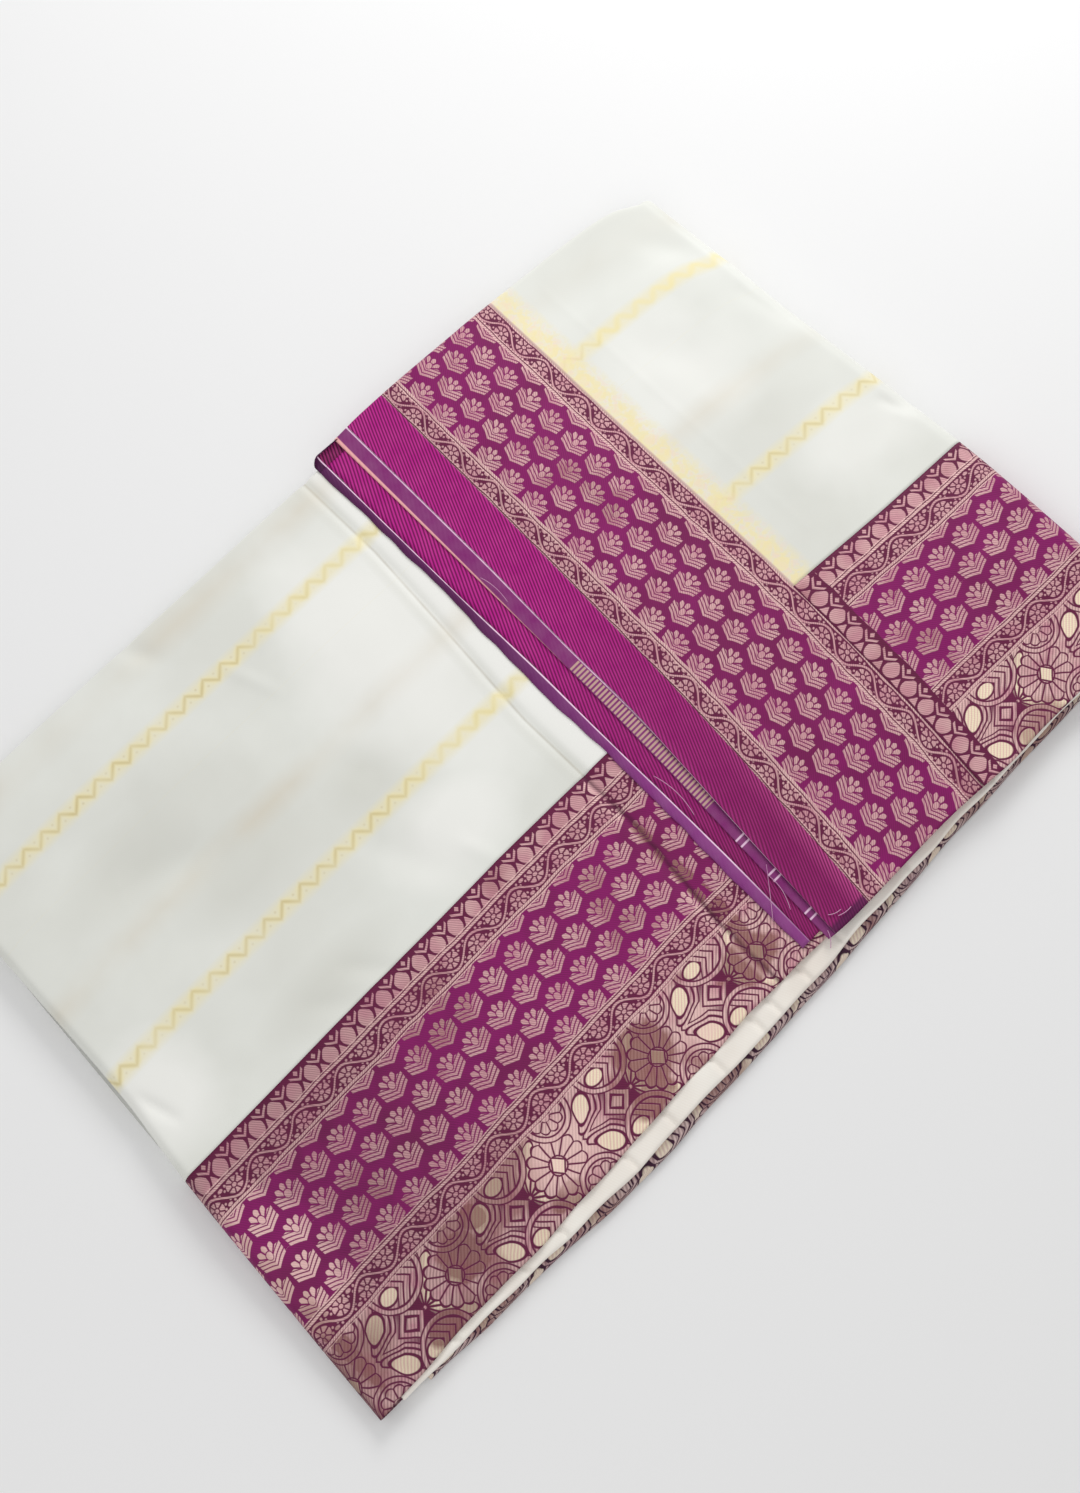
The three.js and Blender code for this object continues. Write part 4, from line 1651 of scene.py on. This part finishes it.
def draw_stripe(along: Field, across: Field) -> Sequence[Field]:
    """Draw a soft pale band with a thin zigzag in it, a glow along the zigzag and dots in its bays.

    Args:
        along: The measure along the cloth.
        across: The way from its middle.

    Returns:
        The zigzag, its glow and the band.
    """
    half = DROP_PITCH / 2.0
    away = (across - (along.wrap(DROP_PITCH).abs() - half / 2.0)).abs()
    dot = along.wrap(DROP_PITCH).length(across - 2.6)
    dot = dot.low((along - half).wrap(DROP_PITCH).length(across + 2.6)).below(0.9, 1.4)
    band = across.abs().below(7.4, 6.5)
    return away.below(1.7, 2.9).high(dot * 0.6), band * (away.below(3.8, 5.0) * 0.42 + 0.58), band


BORDER = Motif("Border_chart", ("Along", "Down"), ("Figure", "Gold", "Lines", "Field"), draw_border)
BAND = Motif("Band_chart", ("Along", "Across"), ("Figure", "Lines", "Field"), draw_band)
WEAVE = Motif("Weave", ("Along", "Across"), ("Slant", "Ribs"), draw_weave)
STRIPE = Motif("Zigzag_stripe", ("Along", "Across"), ("Line", "Glow", "Band"), draw_stripe)


# ---- Finishes ----

Colour = tuple[float, float, float]
Layer = tuple[Field, "Field | Colour"]


@dataclass(frozen=True)
class Cloth:
    """A material tree over the cloth's own measures in millimetres."""

    material: Material

    @classmethod
    def named(cls, name: str) -> Cloth:
        """Start a finish.

        Args:
            name: Its name.

        Returns:
            The finish, with its tree.
        """
        material = bpy.data.materials.new(name)
        material.use_nodes = True
        return cls(material)

    @property
    def tree(self) -> Tree:
        """Give the material's tree."""
        return self.material.node_tree

    @property
    def shader(self) -> bpy.types.Node:
        """Give the material's shader."""
        return self.tree.nodes["Principled BSDF"]

    def measures(self) -> Sequence[Field]:
        """Read the cloth's measures, along and across, in millimetres.

        Returns:
            The two measures.
        """
        uv = self.tree.nodes.new("ShaderNodeUVMap")
        uv.uv_map = "cloth"
        split = self.tree.nodes.new("ShaderNodeSeparateXYZ")
        self.tree.links.new(uv.outputs["UV"], split.inputs[0])
        metres = [Field(self.tree, split.outputs[axis]) for axis in ("X", "Y")]
        return [field.math("MULTIPLY_ADD", 1.0 / MM, -UV_SHIFT / MM) for field in metres]

    def mix(self, share: Field, low: Field | Colour, high: Field | Colour) -> Field:
        """Mix two colours by a mask.

        Args:
            share: The mask, 0 to 1.
            low: The colour where it is 0.
            high: The colour where it is 1.

        Returns:
            The mixed colour.
        """
        node = self.tree.nodes.new("ShaderNodeMix")
        node.data_type = "RGBA"
        feed(self.tree, node.inputs["Factor"], share)
        for slot, value in zip((node.inputs[6], node.inputs[7]), (low, high)):
            feed(self.tree, slot, value if isinstance(value, Field) else (*value, 1.0))
        return Field(self.tree, node.outputs[2])

    def paint(self, ground: Field | Colour, *layers: Layer) -> Field:
        """Lay one colour after another over a ground, each by its mask.

        Args:
            ground: The ground.
            layers: Pairs of a mask and a colour.

        Returns:
            The painted colour.
        """
        for share, colour in layers:
            ground = self.mix(share, ground, colour)
        return ground

    def noise(self, scale: float, detail: float = 3.0) -> Field:
        """Read noise over the piece's own coordinates, about 0 to 1.

        Args:
            scale: How fine it is.
            detail: How many octaves it has.

        Returns:
            The noise.
        """
        place = self.tree.nodes.new("ShaderNodeTexCoord")
        node = self.tree.nodes.new("ShaderNodeTexNoise")
        node.inputs["Scale"].default_value = scale
        node.inputs["Detail"].default_value = detail
        self.tree.links.new(place.outputs["Object"], node.inputs["Vector"])
        return Field(self.tree, node.outputs["Fac"])

    def bump(self, height: Field, distance: float, strength: float) -> None:
        """Raise the surface by a height in units of the given distance, in millimetres.

        Args:
            height: The height.
            distance: The unit of height.
            strength: How strongly it shows, 0 to 1.
        """
        node = self.tree.nodes.new("ShaderNodeBump")
        node.inputs["Strength"].default_value = strength
        node.inputs["Distance"].default_value = distance * MM
        feed(self.tree, node.inputs["Height"], height)
        self.tree.links.new(node.outputs["Normal"], self.shader.inputs["Normal"])

    def close(
        self,
        colour: Field,
        roughness: Field | float,
        specular: float,
        metallic: Field | float = 0.0,
    ) -> Material:
        """Join the colour and the gloss to the shader.

        Args:
            colour: The base colour.
            roughness: The roughness.
            specular: The specular level.
            metallic: How much of it is metal.

        Returns:
            The finish.
        """
        inputs = self.shader.inputs
        feed(self.tree, inputs["Base Color"], colour)
        feed(self.tree, inputs["Roughness"], roughness)
        feed(self.tree, inputs["Specular IOR Level"], specular)
        feed(self.tree, inputs["Metallic"], metallic)
        return self.material


class Patch(NamedTuple):
    """An oval patch of another tone: its middle on the cloth and its half sizes, in millimetres."""

    along: float
    across: float
    length: float
    width: float


# Patches where the border's zari turns brown: painted dark sheen, where the cloth's tilt hides the
# zari's reflection.
DARK_SHEEN_PATCHES = table(
    Patch, (-108, 37, 25, 26), (-126, 12, 22, 12), (0, 30, 26, 19), (-307, 35, 21, 19),
    (-352, 8, 16, 12), (-284, 50, 11, 10), (11, 92, 7, 84), (-222, 10, 15, 9), (-415, 90, 8, 80),
)
# Patches of painted highlight on the border's zari.
GLEAMS = table(Patch, (-203, 33, 34, 24), (-62, 22, 22, 16), (-402, 132, 32, 58))


def patchy(
    along: Field, across: Field, patches: Sequence[Patch], uneven: Field, rim: float, soft: float
) -> Field:
    """Mask a few patches, with ragged rims.

    Args:
        along: The cloth's measure along.
        across: The cloth's measure across.
        patches: The patches.
        uneven: Noise of about 0 to 1 for the rims.
        rim: The scaled distance of the rim: 0 is a patch's middle and 1 its size.
        soft: How softly it ends.

    Returns:
        The mask.
    """
    nearest = along * 0.0 + 9.0
    for one in patches:
        leg = (along - one.along) * (1.0 / one.length)
        nearest = nearest.low(leg.length((across - one.across) * (1.0 / one.width)))
    return (nearest + (uneven - 0.5) * 0.9).below(rim, soft)


def from_cross_fold(along: Field, across: Field) -> Field:
    """Give the way along from the lower panel's old cross fold, which bends near both its ends.

    Args:
        along: The measure along the cloth.
        across: The measure across it.

    Returns:
        The way from the fold.
    """
    upper = (across - 290.0).high(0.0).low(190.0) * 0.076
    lower = (165.0 - across).high(0.0).low(100.0) * 0.092
    return along - upper + lower - 13.5


@dataclass(frozen=True)
class WhiteSilk:
    """Off-white silk with zigzag stripes, greyer and paler in patches: painted shade and painted light,
    and painted shade in soft clouds too.
    """

    name: str
    painted_shade_patches: Sequence[Patch]
    painted_shade_share: float
    painted_light_patches: Sequence[Patch]
    painted_light_share: float
    # The pale colour is painted light on the white; the shade colour is painted shade.
    pale: Colour = (0.95, 0.945, 0.905)
    crease_shadow: Colour = (0.50, 0.46, 0.38)
    rose: Colour = (0.93, 0.70, 0.58)
    white: Colour = (0.84, 0.85, 0.80)
    shade: Colour = (0.69, 0.69, 0.63)
    yellow: Colour = (0.90, 0.80, 0.44)
    gold: Colour = (0.56, 0.44, 0.20)
    beige: Colour = (0.71, 0.62, 0.47)
    glow: Colour = (0.93, 0.79, 0.45)
    rim: Colour = (0.80, 0.50, 0.50)

    def build(self, fringe: bool) -> Material:
        """Build the finish, with the zari fringe by the flap's band or with the old cross fold, drawn as
        painted light and shade.

        Args:
            fringe: True for the flap, False for the lower panel.

        Returns:
            The finish.
        """
        cloth = Cloth.named(self.name)
        along, across = cloth.measures()
        side = across.above(450.0, 1.0).choose(*(across - middle for middle in STRIPES))
        line, glow, band = STRIPE.place(along, side)
        slow = cloth.noise(4.5, 2.0)
        cloud = cloth.noise(11.0, 3.0)
        uneven = cloth.noise(38.0, 3.0)
        # Patches of painted shade (greyer) and of painted light (paler).
        painted_shade = patchy(along, across, self.painted_shade_patches, cloud, 0.85, 0.9)
        pale = patchy(along, across, self.painted_light_patches, cloud, 0.95, 0.9)
        # Painted soft shade in clouds of noise, then the patches of painted shade and painted light.
        colour = cloth.paint(
            self.white,
            (cloud.above(0.52, 0.25) * 0.32 + slow.above(0.50, 0.25) * 0.25, self.shade),
            (painted_shade * self.painted_shade_share, self.shade),
            (pale * self.painted_light_share, self.pale),
        )
        clear = slow.above(0.50, 0.16) * 0.40 + (0.0 if fringe else 0.26)
        if not fringe:
            past = from_cross_fold(along, across)
            clear = clear * (1.0 - past.above(-95.0, 110.0) * 0.65)
            # About the old cross fold: painted light past it, painted shade before it and a painted
            # shadow line in its groove.
            colour = cloth.paint(
                colour,
                (past.above(4.0, 8.0) * 0.85, self.pale),
                (past.near(-7.0, 3.0, 9.0) * 0.45, self.shade),
                (past.near(-0.5, 0.7, 2.0) * (uneven * 0.9 + 0.1), self.crease_shadow),
            )
        faint = across.near(385.8, 8.0, 16.0).high(across.near(552.0, 10.0, 18.0))
        broken = slow.above(0.50, 0.22) * 0.30 + 0.12
        colour = cloth.paint(
            colour,
            (faint * cloud.above(0.44, 0.30) * broken, self.beige),
            (glow * (uneven * 0.7 + 0.45), self.yellow),
            (line * band * clear * (uneven * 1.5 + 0.05), self.gold),
        )
        if fringe:
            colour = self.fringed(cloth, along, across, uneven, colour)
        slant, ribs = WEAVE.place(along, across)
        cloth.bump(ribs * 0.5 + slant * 0.5 + glow * 0.8, 0.05, 0.35)
        return cloth.close(colour, cloud * 0.20 + 0.42, specular=0.32)

    def fringed(self, cloth: Cloth, along: Field, across: Field, uneven: Field, ground: Field) -> Field:
        """Add the pale zari drops and the rosy rim beside the figured band.

        Args:
            cloth: The finish.
            along: The way from the band.
            across: The cloth's measure across.
            uneven: Noise of about 0 to 1.
            ground: The white silk's colour.

        Returns:
            The white silk's colour with them.
        """
        drop, sprig = DROPS.place(across + 7.0, 19.5 - along)
        reach = along.below(19.0, 14.0)
        grain = cloth.noise(170.0, 2.0)
        return cloth.paint(
            ground,
            (reach * (uneven.above(0.46, 0.34) * 0.35 + 0.15), self.glow),
            (reach * grain.above(0.52, 0.10) * 0.70, self.yellow),
            (reach * grain.below(0.42, 0.08) * 0.45, self.rose),
            (drop.high(sprig * 0.7) * along.above(1.5) * reach * uneven * 0.8, self.glow),
            (along.near(0.9, 1.0, 0.8) * 0.7, self.rim),
        )


class Chart(Enum):
    """Which chart a figured silk follows."""

    BORDER = "the border's rows along its length, dull in patches"
    FOLD = "the border's rows alone"
    BY_BAND = "the same, with a row of drops beside the cross band"
    BAND = "the cross band"


@dataclass(frozen=True)
class FiguredSilk:
    """Magenta silk figured with pink and pale gold zari."""

    name: str
    chart: Chart
    ground: Colour = (0.275, 0.0055, 0.140)
    plum: Colour = (0.150, 0.010, 0.058)
    outline: Colour = (0.060, 0.004, 0.024)
    rose: Colour = (0.73, 0.345, 0.400)
    bright: Colour = (0.98, 0.68, 0.62)
    gold: Colour = (1.0, 0.88, 0.62)
    # The brown colour paints the zari's dark sheen.
    brown: Colour = (0.245, 0.086, 0.070)

    def figures(self, along: Field, across: Field) -> tuple[Field, Field, Field, Field, Field]:
        """Read the chart: figure, gold, lines, the lotus field and the scrollwork's zone.

        Args:
            along: The measure along the cloth.
            across: The measure across it.

        Returns:
            The five masks.
        """
        if self.chart is Chart.BAND:
            figure, lines, in_field = BAND.place(across, along)
            return figure, lines * 0.0, lines, in_field, lines * 0.0
        figure, gold, lines, in_field = BORDER.place(along, BORDER_WIDTH - across)
        in_scroll = across.below(62.0, 1.0)
        if self.chart is not Chart.BY_BAND:
            return figure, gold, lines, in_field, in_scroll
        beside = (along - FLAP_BODY_LENGTH).below(21.0, 0.4)
        drop, sprig = DROPS.place(across * 0.941 + 4.0, FLAP_BODY_LENGTH + 21.0 - along)
        beyond = 1.0 - beside
        figure = figure * beyond + drop.high(sprig) * beside
        return figure, gold * beyond, lines * beyond, in_field * beyond, in_scroll * beyond

    def build(self) -> Material:
        """Build the finish.

        Returns:
            The finish.
        """
        cloth = Cloth.named(self.name)
        along, across = cloth.measures()
        along = along + (cloth.noise(45.0, 2.0) - 0.5) * 3.4
        across = across + (cloth.noise(31.0, 2.0) - 0.5) * 3.4
        figure, gold, lines, in_field, in_scroll = self.figures(along, across)
        raised = figure.high(gold)
        outside = 1.0 - in_scroll
        slant, _ = WEAVE.place(along, across)
        hatch = (along - across).swing(3.5)
        uneven = cloth.noise(60.0, 3.0)
        slow = cloth.noise(15.0, 2.0)
        # The slow blotches of darker plum over the lotus field are painted sheen.
        ground = cloth.paint(
            cloth.mix(in_field, self.plum, self.ground),
            (slant * uneven * 0.6, self.outline),
            (slow.above(0.55, 0.20) * in_field * 0.5, self.plum),
        )
        # The zari's brighter patches by noise are painted glints.
        zari = cloth.paint(
            self.rose,
            (uneven.above(0.50, 0.3) * 0.45, self.bright),
            (in_scroll * uneven.above(0.42, 0.2) * 0.55, self.bright),
            (slant * 0.42 * outside + hatch * in_scroll * 0.50, self.outline),
            (lines * slant.above(0.25, 0.4), self.bright),
        )
        pale = cloth.mix(hatch * 0.55, self.gold, self.rose)
        # The zari turns brown by slow noise and, on the border, in the listed patches: painted dark
        # sheen.
        dark_sheen = slow.below(0.36, 0.10) * outside * 0.5 + slow.below(0.42, 0.08) * in_scroll * 0.7
        if self.chart is Chart.BORDER:
            dark_sheen = dark_sheen.high(patchy(along, across, DARK_SHEEN_PATCHES, uneven, 1.0, 0.25))
        colour = cloth.paint(
            ground,
            (figure * 0.96, zari),
            (gold, pale),
            (raised * dark_sheen * (1.0 - lines) * 0.78, self.brown),
        )
        if self.chart is Chart.BORDER:
            gleam = patchy(along, across, GLEAMS, uneven, 1.0, 0.6)
            past = from_cross_fold(along, across)
            # Painted light on the border: shade on the left fold's turned side, shade growing towards
            # the left, highlights in the gleams, a shadow line in the old cross fold's groove and a
            # highlight beside it.
            colour = cloth.paint(
                colour,
                (along.below(-432.0, 12.0) * 0.65, self.outline),
                (along.below(-225.0, 170.0) * (uneven * 0.3 + 0.12) * (1.0 - gleam * 0.8), self.outline),
                (gleam * raised * 0.5, self.bright),
                (past.near(0.0, 1.6, 3.0) * (uneven * 0.8 + 0.25), self.outline),
                (past.near(-5.5, 1.6, 3.5) * raised * 0.35, self.bright),
            )
        cloth.bump(raised * 0.8 + slant * 0.2 + hatch * in_scroll * 0.25, 0.35, 0.7)
        return cloth.close(colour, 0.56 - raised * 0.14, specular=0.25, metallic=raised * 0.12)


@dataclass(frozen=True)
class EndSilk:
    """The cloth's end: a lavender heading with pale lines, then magenta twill with ribs on the slant.

    The measure along starts at the cut end.
    """

    name: str
    width: float
    block: bool = False
    shaded: float = 0.0
    lavender: Colour = (0.235, 0.024, 0.170)
    pale: Colour = (0.66, 0.50, 0.60)
    line: Colour = (0.96, 0.68, 0.87)
    gold: Colour = (0.62, 0.42, 0.33)
    peach: Colour = (0.93, 0.47, 0.45)
    dark: Colour = (0.070, 0.012, 0.060)
    low: Colour = (0.150, 0.0012, 0.078)
    high: Colour = (0.530, 0.0090, 0.280)
    glint: Colour = (0.80, 0.14, 0.42)
    brown: Colour = (0.135, 0.016, 0.056)
    pairs: tuple[float, ...] = (-180.0, -216.0, -256.0)

    def build(self) -> Material:
        """Build the finish.

        Returns:
            The finish.
        """
        cloth = Cloth.named(self.name)
        along, across = cloth.measures()
        rib = (along * 0.90 - across * 0.43).swing(2.8)
        fine = (along * 0.43 + across * 0.90).swing(1.1)
        uneven = cloth.noise(70.0, 3.0)
        outer = along.above(self.width + 34.0, 14.0) * across.below(-150.0, 160.0)
        twill = cloth.paint(
            cloth.mix(rib, self.low, self.high),
            (rib * fine * (uneven.above(0.50, 0.4) * 0.35 + 0.1), self.glint),
            (across.below(-60.0, 260.0) * 0.52, self.brown),
            (outer * rib * 0.45, self.glint),
            (across.below(-274.0, 3.0) * 0.75, self.dark),
        )
        heading = cloth.paint(
            self.lavender,
            (uneven.above(0.5, 0.4) * 0.08, self.pale),
            (across.above(0.0, 220.0) * self.shaded, self.dark),
        )
        if self.block:
            heading = cloth.paint(heading, *self.block_weave(along, across))
        broken = (uneven * 1.5 + 0.25).low(1.0) * (across.above(-215.0, 60.0) * 0.8 + 0.2)
        colour = cloth.paint(
            heading,
            (along.above(self.width, 0.4), twill),
            (along.near(self.width - 0.5, 0.55, 0.4) * broken, self.line),
        )
        cloth.bump(rib * 0.8 + fine * 0.2, 0.25, 0.6)
        return cloth.close(colour, 0.55, specular=0.15)

    def block_weave(self, along: Field, across: Field) -> Sequence[Layer]:
        """Give the ribbed gold block, the pairs of cross lines and the peach edge of the heading.

        Args:
            along: The measure from the cut end.
            across: The place across the pack.

        Returns:
            Their layers, over the shadow of the upper twill's edge.
        """
        # Painted shadow of the upper twill's lifted edge over the heading.
        twill_edge_shadow = along.above(self.width - 2.0, 3.4) * across.below(-30.0, 90.0)
        rib = across.wave(3.6).above(-0.1, 0.8)
        within = along.near(self.width * 0.45, self.width * 0.40, 0.6)
        block = across.near(-64.5, 78.5, 1.0) * rib * within
        first, *others = (across.off(place).off(3.0).below(0.8) for place in self.pairs)
        edge = (along - (across * 0.0078).high(0.5)).below(0.0, 0.5)
        return (
            (twill_edge_shadow * 0.85, self.dark),
            (block * 0.9, self.gold),
            (first.high(*others) * 0.85, self.line),
            (edge * across.above(50.0, 80.0) * 0.95, self.peach),
        )


@dataclass(frozen=True)
class PlainSilk:
    """Unfigured silk: its colour, shaded by slow unevenness and by the binding of its weave."""

    name: str
    colour: Colour
    shade: Colour

    def build(self) -> Material:
        """Build the finish.

        Returns:
            The finish.
        """
        cloth = Cloth.named(self.name)
        cloud = cloth.noise(14.0, 3.0)
        slant, ribs = WEAVE.place(*cloth.measures())
        colour = cloth.mix(cloud.above(0.48, 0.35) * 0.7 + slant * 0.2, self.colour, self.shade)
        cloth.bump(ribs * 0.5 + slant * 0.5, 0.06, 0.4)
        return cloth.close(colour, cloud * 0.2 + 0.45, specular=0.35)


# ---- The studio ----


class Lamp(NamedTuple):
    """A soft square lamp: its name, its place and size in metres, and its power in watts."""

    name: str
    place: tuple[float, float, float]
    size: float
    power: float


@dataclass(frozen=True)
class Studio:
    """The camera, the lights and the floor."""

    position: tuple[float, float, float] = (-0.23843, -0.39105, 1.5819)
    tilt: float = 73.744            # degrees below the horizon
    heading: float = 57.145
    roll: float = -12.234
    lens: float = 49.97
    sensor: float = 36.0
    lamps: tuple[Lamp, ...] = (
        Lamp("Key", (1.5, 1.0, 1.25), 0.9, 22.0),
        Lamp("Fill", (-1.2, -0.6, 1.8), 1.6, 8.0),
    )
    sky: float = 0.54
    floor_tone: float = 0.9
    floor_half: float = 4.0

    def add(self, name: str, data: bpy.types.ID) -> Object:
        """Put an object into the scene.

        Args:
            name: Its name.
            data: Its mesh, lamp or camera.

        Returns:
            The object.
        """
        thing = bpy.data.objects.new(name, data)
        bpy.context.collection.objects.link(thing)
        return thing

    def camera(self) -> None:
        """Set the camera by its heading, its tilt below the horizon and its roll."""
        tilt, heading, roll = (math.radians(angle) for angle in (self.tilt, self.heading, self.roll))
        east, north = math.cos(heading), math.sin(heading)
        forward = Vector((east * math.cos(tilt), north * math.cos(tilt), -math.sin(tilt)))
        right = Vector((north, -east, 0.0))
        up = right.cross(forward)
        across = math.cos(roll) * right + math.sin(roll) * up
        above = math.cos(roll) * up - math.sin(roll) * right
        data = bpy.data.cameras.new("Camera")
        data.lens = self.lens
        data.sensor_width = self.sensor
        camera = self.add("Camera", data)
        turn = Matrix((across, above, -forward)).transposed().to_4x4()
        camera.matrix_world = Matrix.Translation(Vector(self.position)) @ turn
        bpy.context.scene.camera = camera

    def hang(self, lamp: Lamp) -> None:
        """Hang a lamp that looks at the pack's middle.

        Args:
            lamp: The lamp.
        """
        data = bpy.data.lights.new(lamp.name, "AREA")
        data.shape = "SQUARE"
        data.size = lamp.size
        data.energy = lamp.power
        light = self.add(lamp.name, data)
        light.location = lamp.place
        light.rotation_mode = "QUATERNION"
        light.rotation_quaternion = (-Vector(lamp.place)).to_track_quat("-Z", "Y")

    def floor(self) -> None:
        """Lay the pale plain floor."""
        half, tone = self.floor_half, self.floor_tone
        corners = [(-half, -half, 0), (half, -half, 0), (half, half, 0), (-half, half, 0)]
        mesh = bpy.data.meshes.new("Floor")
        mesh.from_pydata(corners, [], [(0, 1, 2, 3)])
        mesh.materials.append(Cloth.named("Floor").close((tone, tone, tone, 1.0), 0.9, specular=0.5))
        self.add("Floor", mesh)

    def build(self) -> None:
        """Set up the floor, the lamps, the soft sky and the camera."""
        self.floor()
        for lamp in self.lamps:
            self.hang(lamp)
        world = bpy.data.worlds.new("Sky")
        world.use_nodes = True
        background = world.node_tree.nodes["Background"]
        background.inputs["Color"].default_value = (1.0, 1.0, 1.0, 1.0)
        background.inputs["Strength"].default_value = self.sky
        bpy.context.scene.world = world
        bpy.context.scene.view_settings.view_transform = "Standard"
        self.camera()


# ---- The saree ----


@dataclass(frozen=True)
class Wardrobe:
    """The saree's finishes."""

    # The patches of both white silks are painted shade and painted light.
    white: WhiteSilk = WhiteSilk(
        "White_silk",
        painted_shade_patches=table(
            Patch, (-110, 344, 34, 30), (-222, 364, 58, 34), (-286, 430, 58, 30), (-238, 250, 60, 22)
        ),
        painted_shade_share=0.62,
        painted_light_patches=table(Patch, (-20, 410, 66, 120), (-86, 270, 48, 34), (-388, 280, 40, 42)),
        painted_light_share=0.75,
    )
    fringed: WhiteSilk = WhiteSilk(
        "White_silk_by_the_band",
        painted_shade_patches=table(Patch, (120, 560, 110, 30), (96, 350, 40, 26)),
        painted_shade_share=0.36,
        painted_light_patches=table(Patch, (128, 282, 52, 34), (66, 430, 46, 60)),
        painted_light_share=0.5,
    )
    figured: FiguredSilk = FiguredSilk("Figured_border", Chart.BORDER)
    by_band: FiguredSilk = FiguredSilk("Figured_border_by_the_band", Chart.BY_BAND)
    band: FiguredSilk = FiguredSilk("Figured_band", Chart.BAND)
    # The border fold below the white fold: a darker copy of the figured silk, as painted shade.
    folded: FiguredSilk = FiguredSilk(
        "Figured_fold_in_shade", Chart.FOLD, plum=(0.040, 0.008, 0.030), rose=(0.52, 0.33, 0.35),
        bright=(0.78, 0.62, 0.58), gold=(0.80, 0.70, 0.55),
    )
    end: EndSilk = EndSilk("Upper_end_silk", width=11.0, block=True)
    under: EndSilk = EndSilk("Under_end_silk", width=9.0, shaded=0.80, lavender=(0.270, 0.040, 0.235))
    # The loop: a darker copy of the twill, as painted shade inside the fold.
    loop: EndSilk = EndSilk(
        "Loop_silk_in_shade", width=8.0, shaded=1.0, low=(0.060, 0.001, 0.028), high=(0.230, 0.003, 0.100)
    )
    # The white fold: brighter than the white body, as painted light.
    rolled: PlainSilk = PlainSilk("White_fold_silk_painted_light", (0.99, 0.96, 0.89), (0.88, 0.80, 0.72))
    inner: PlainSilk = PlainSilk("Inner_silk", (0.76, 0.77, 0.73), (0.66, 0.665, 0.61))
    thread: PlainSilk = PlainSilk("Thread", (0.74, 0.43, 0.61), (0.45, 0.16, 0.36))


def build_saree() -> list[Object]:
    """Build every piece of the saree with its finish.

    Returns:
        The pieces.
    """
    silks = Wardrobe()
    inner = silks.inner.build()
    return [
        *LowerPanel().build(silks.white.build(fringe=False), silks.figured.build()),
        *Flap().build(silks.fringed.build(fringe=True), silks.by_band.build()),
        *FlapEnd().build(silks.band.build(), silks.end.build()),
        *UnderHalf().build(silks.under.build(), silks.loop.build(), inner),
        *SelvedgeFolds().build(silks.rolled.build(), silks.folded.build()),
        InnerFolds().build(inner),
        LooseThreads().build(silks.thread.build()),
    ]


def main() -> None:
    """Build the saree, its floor, its lights and its camera."""
    pieces = build_saree()
    Studio().build()
    LOG.info("%d pieces", len(pieces))


if __name__ == "__main__":
    main()
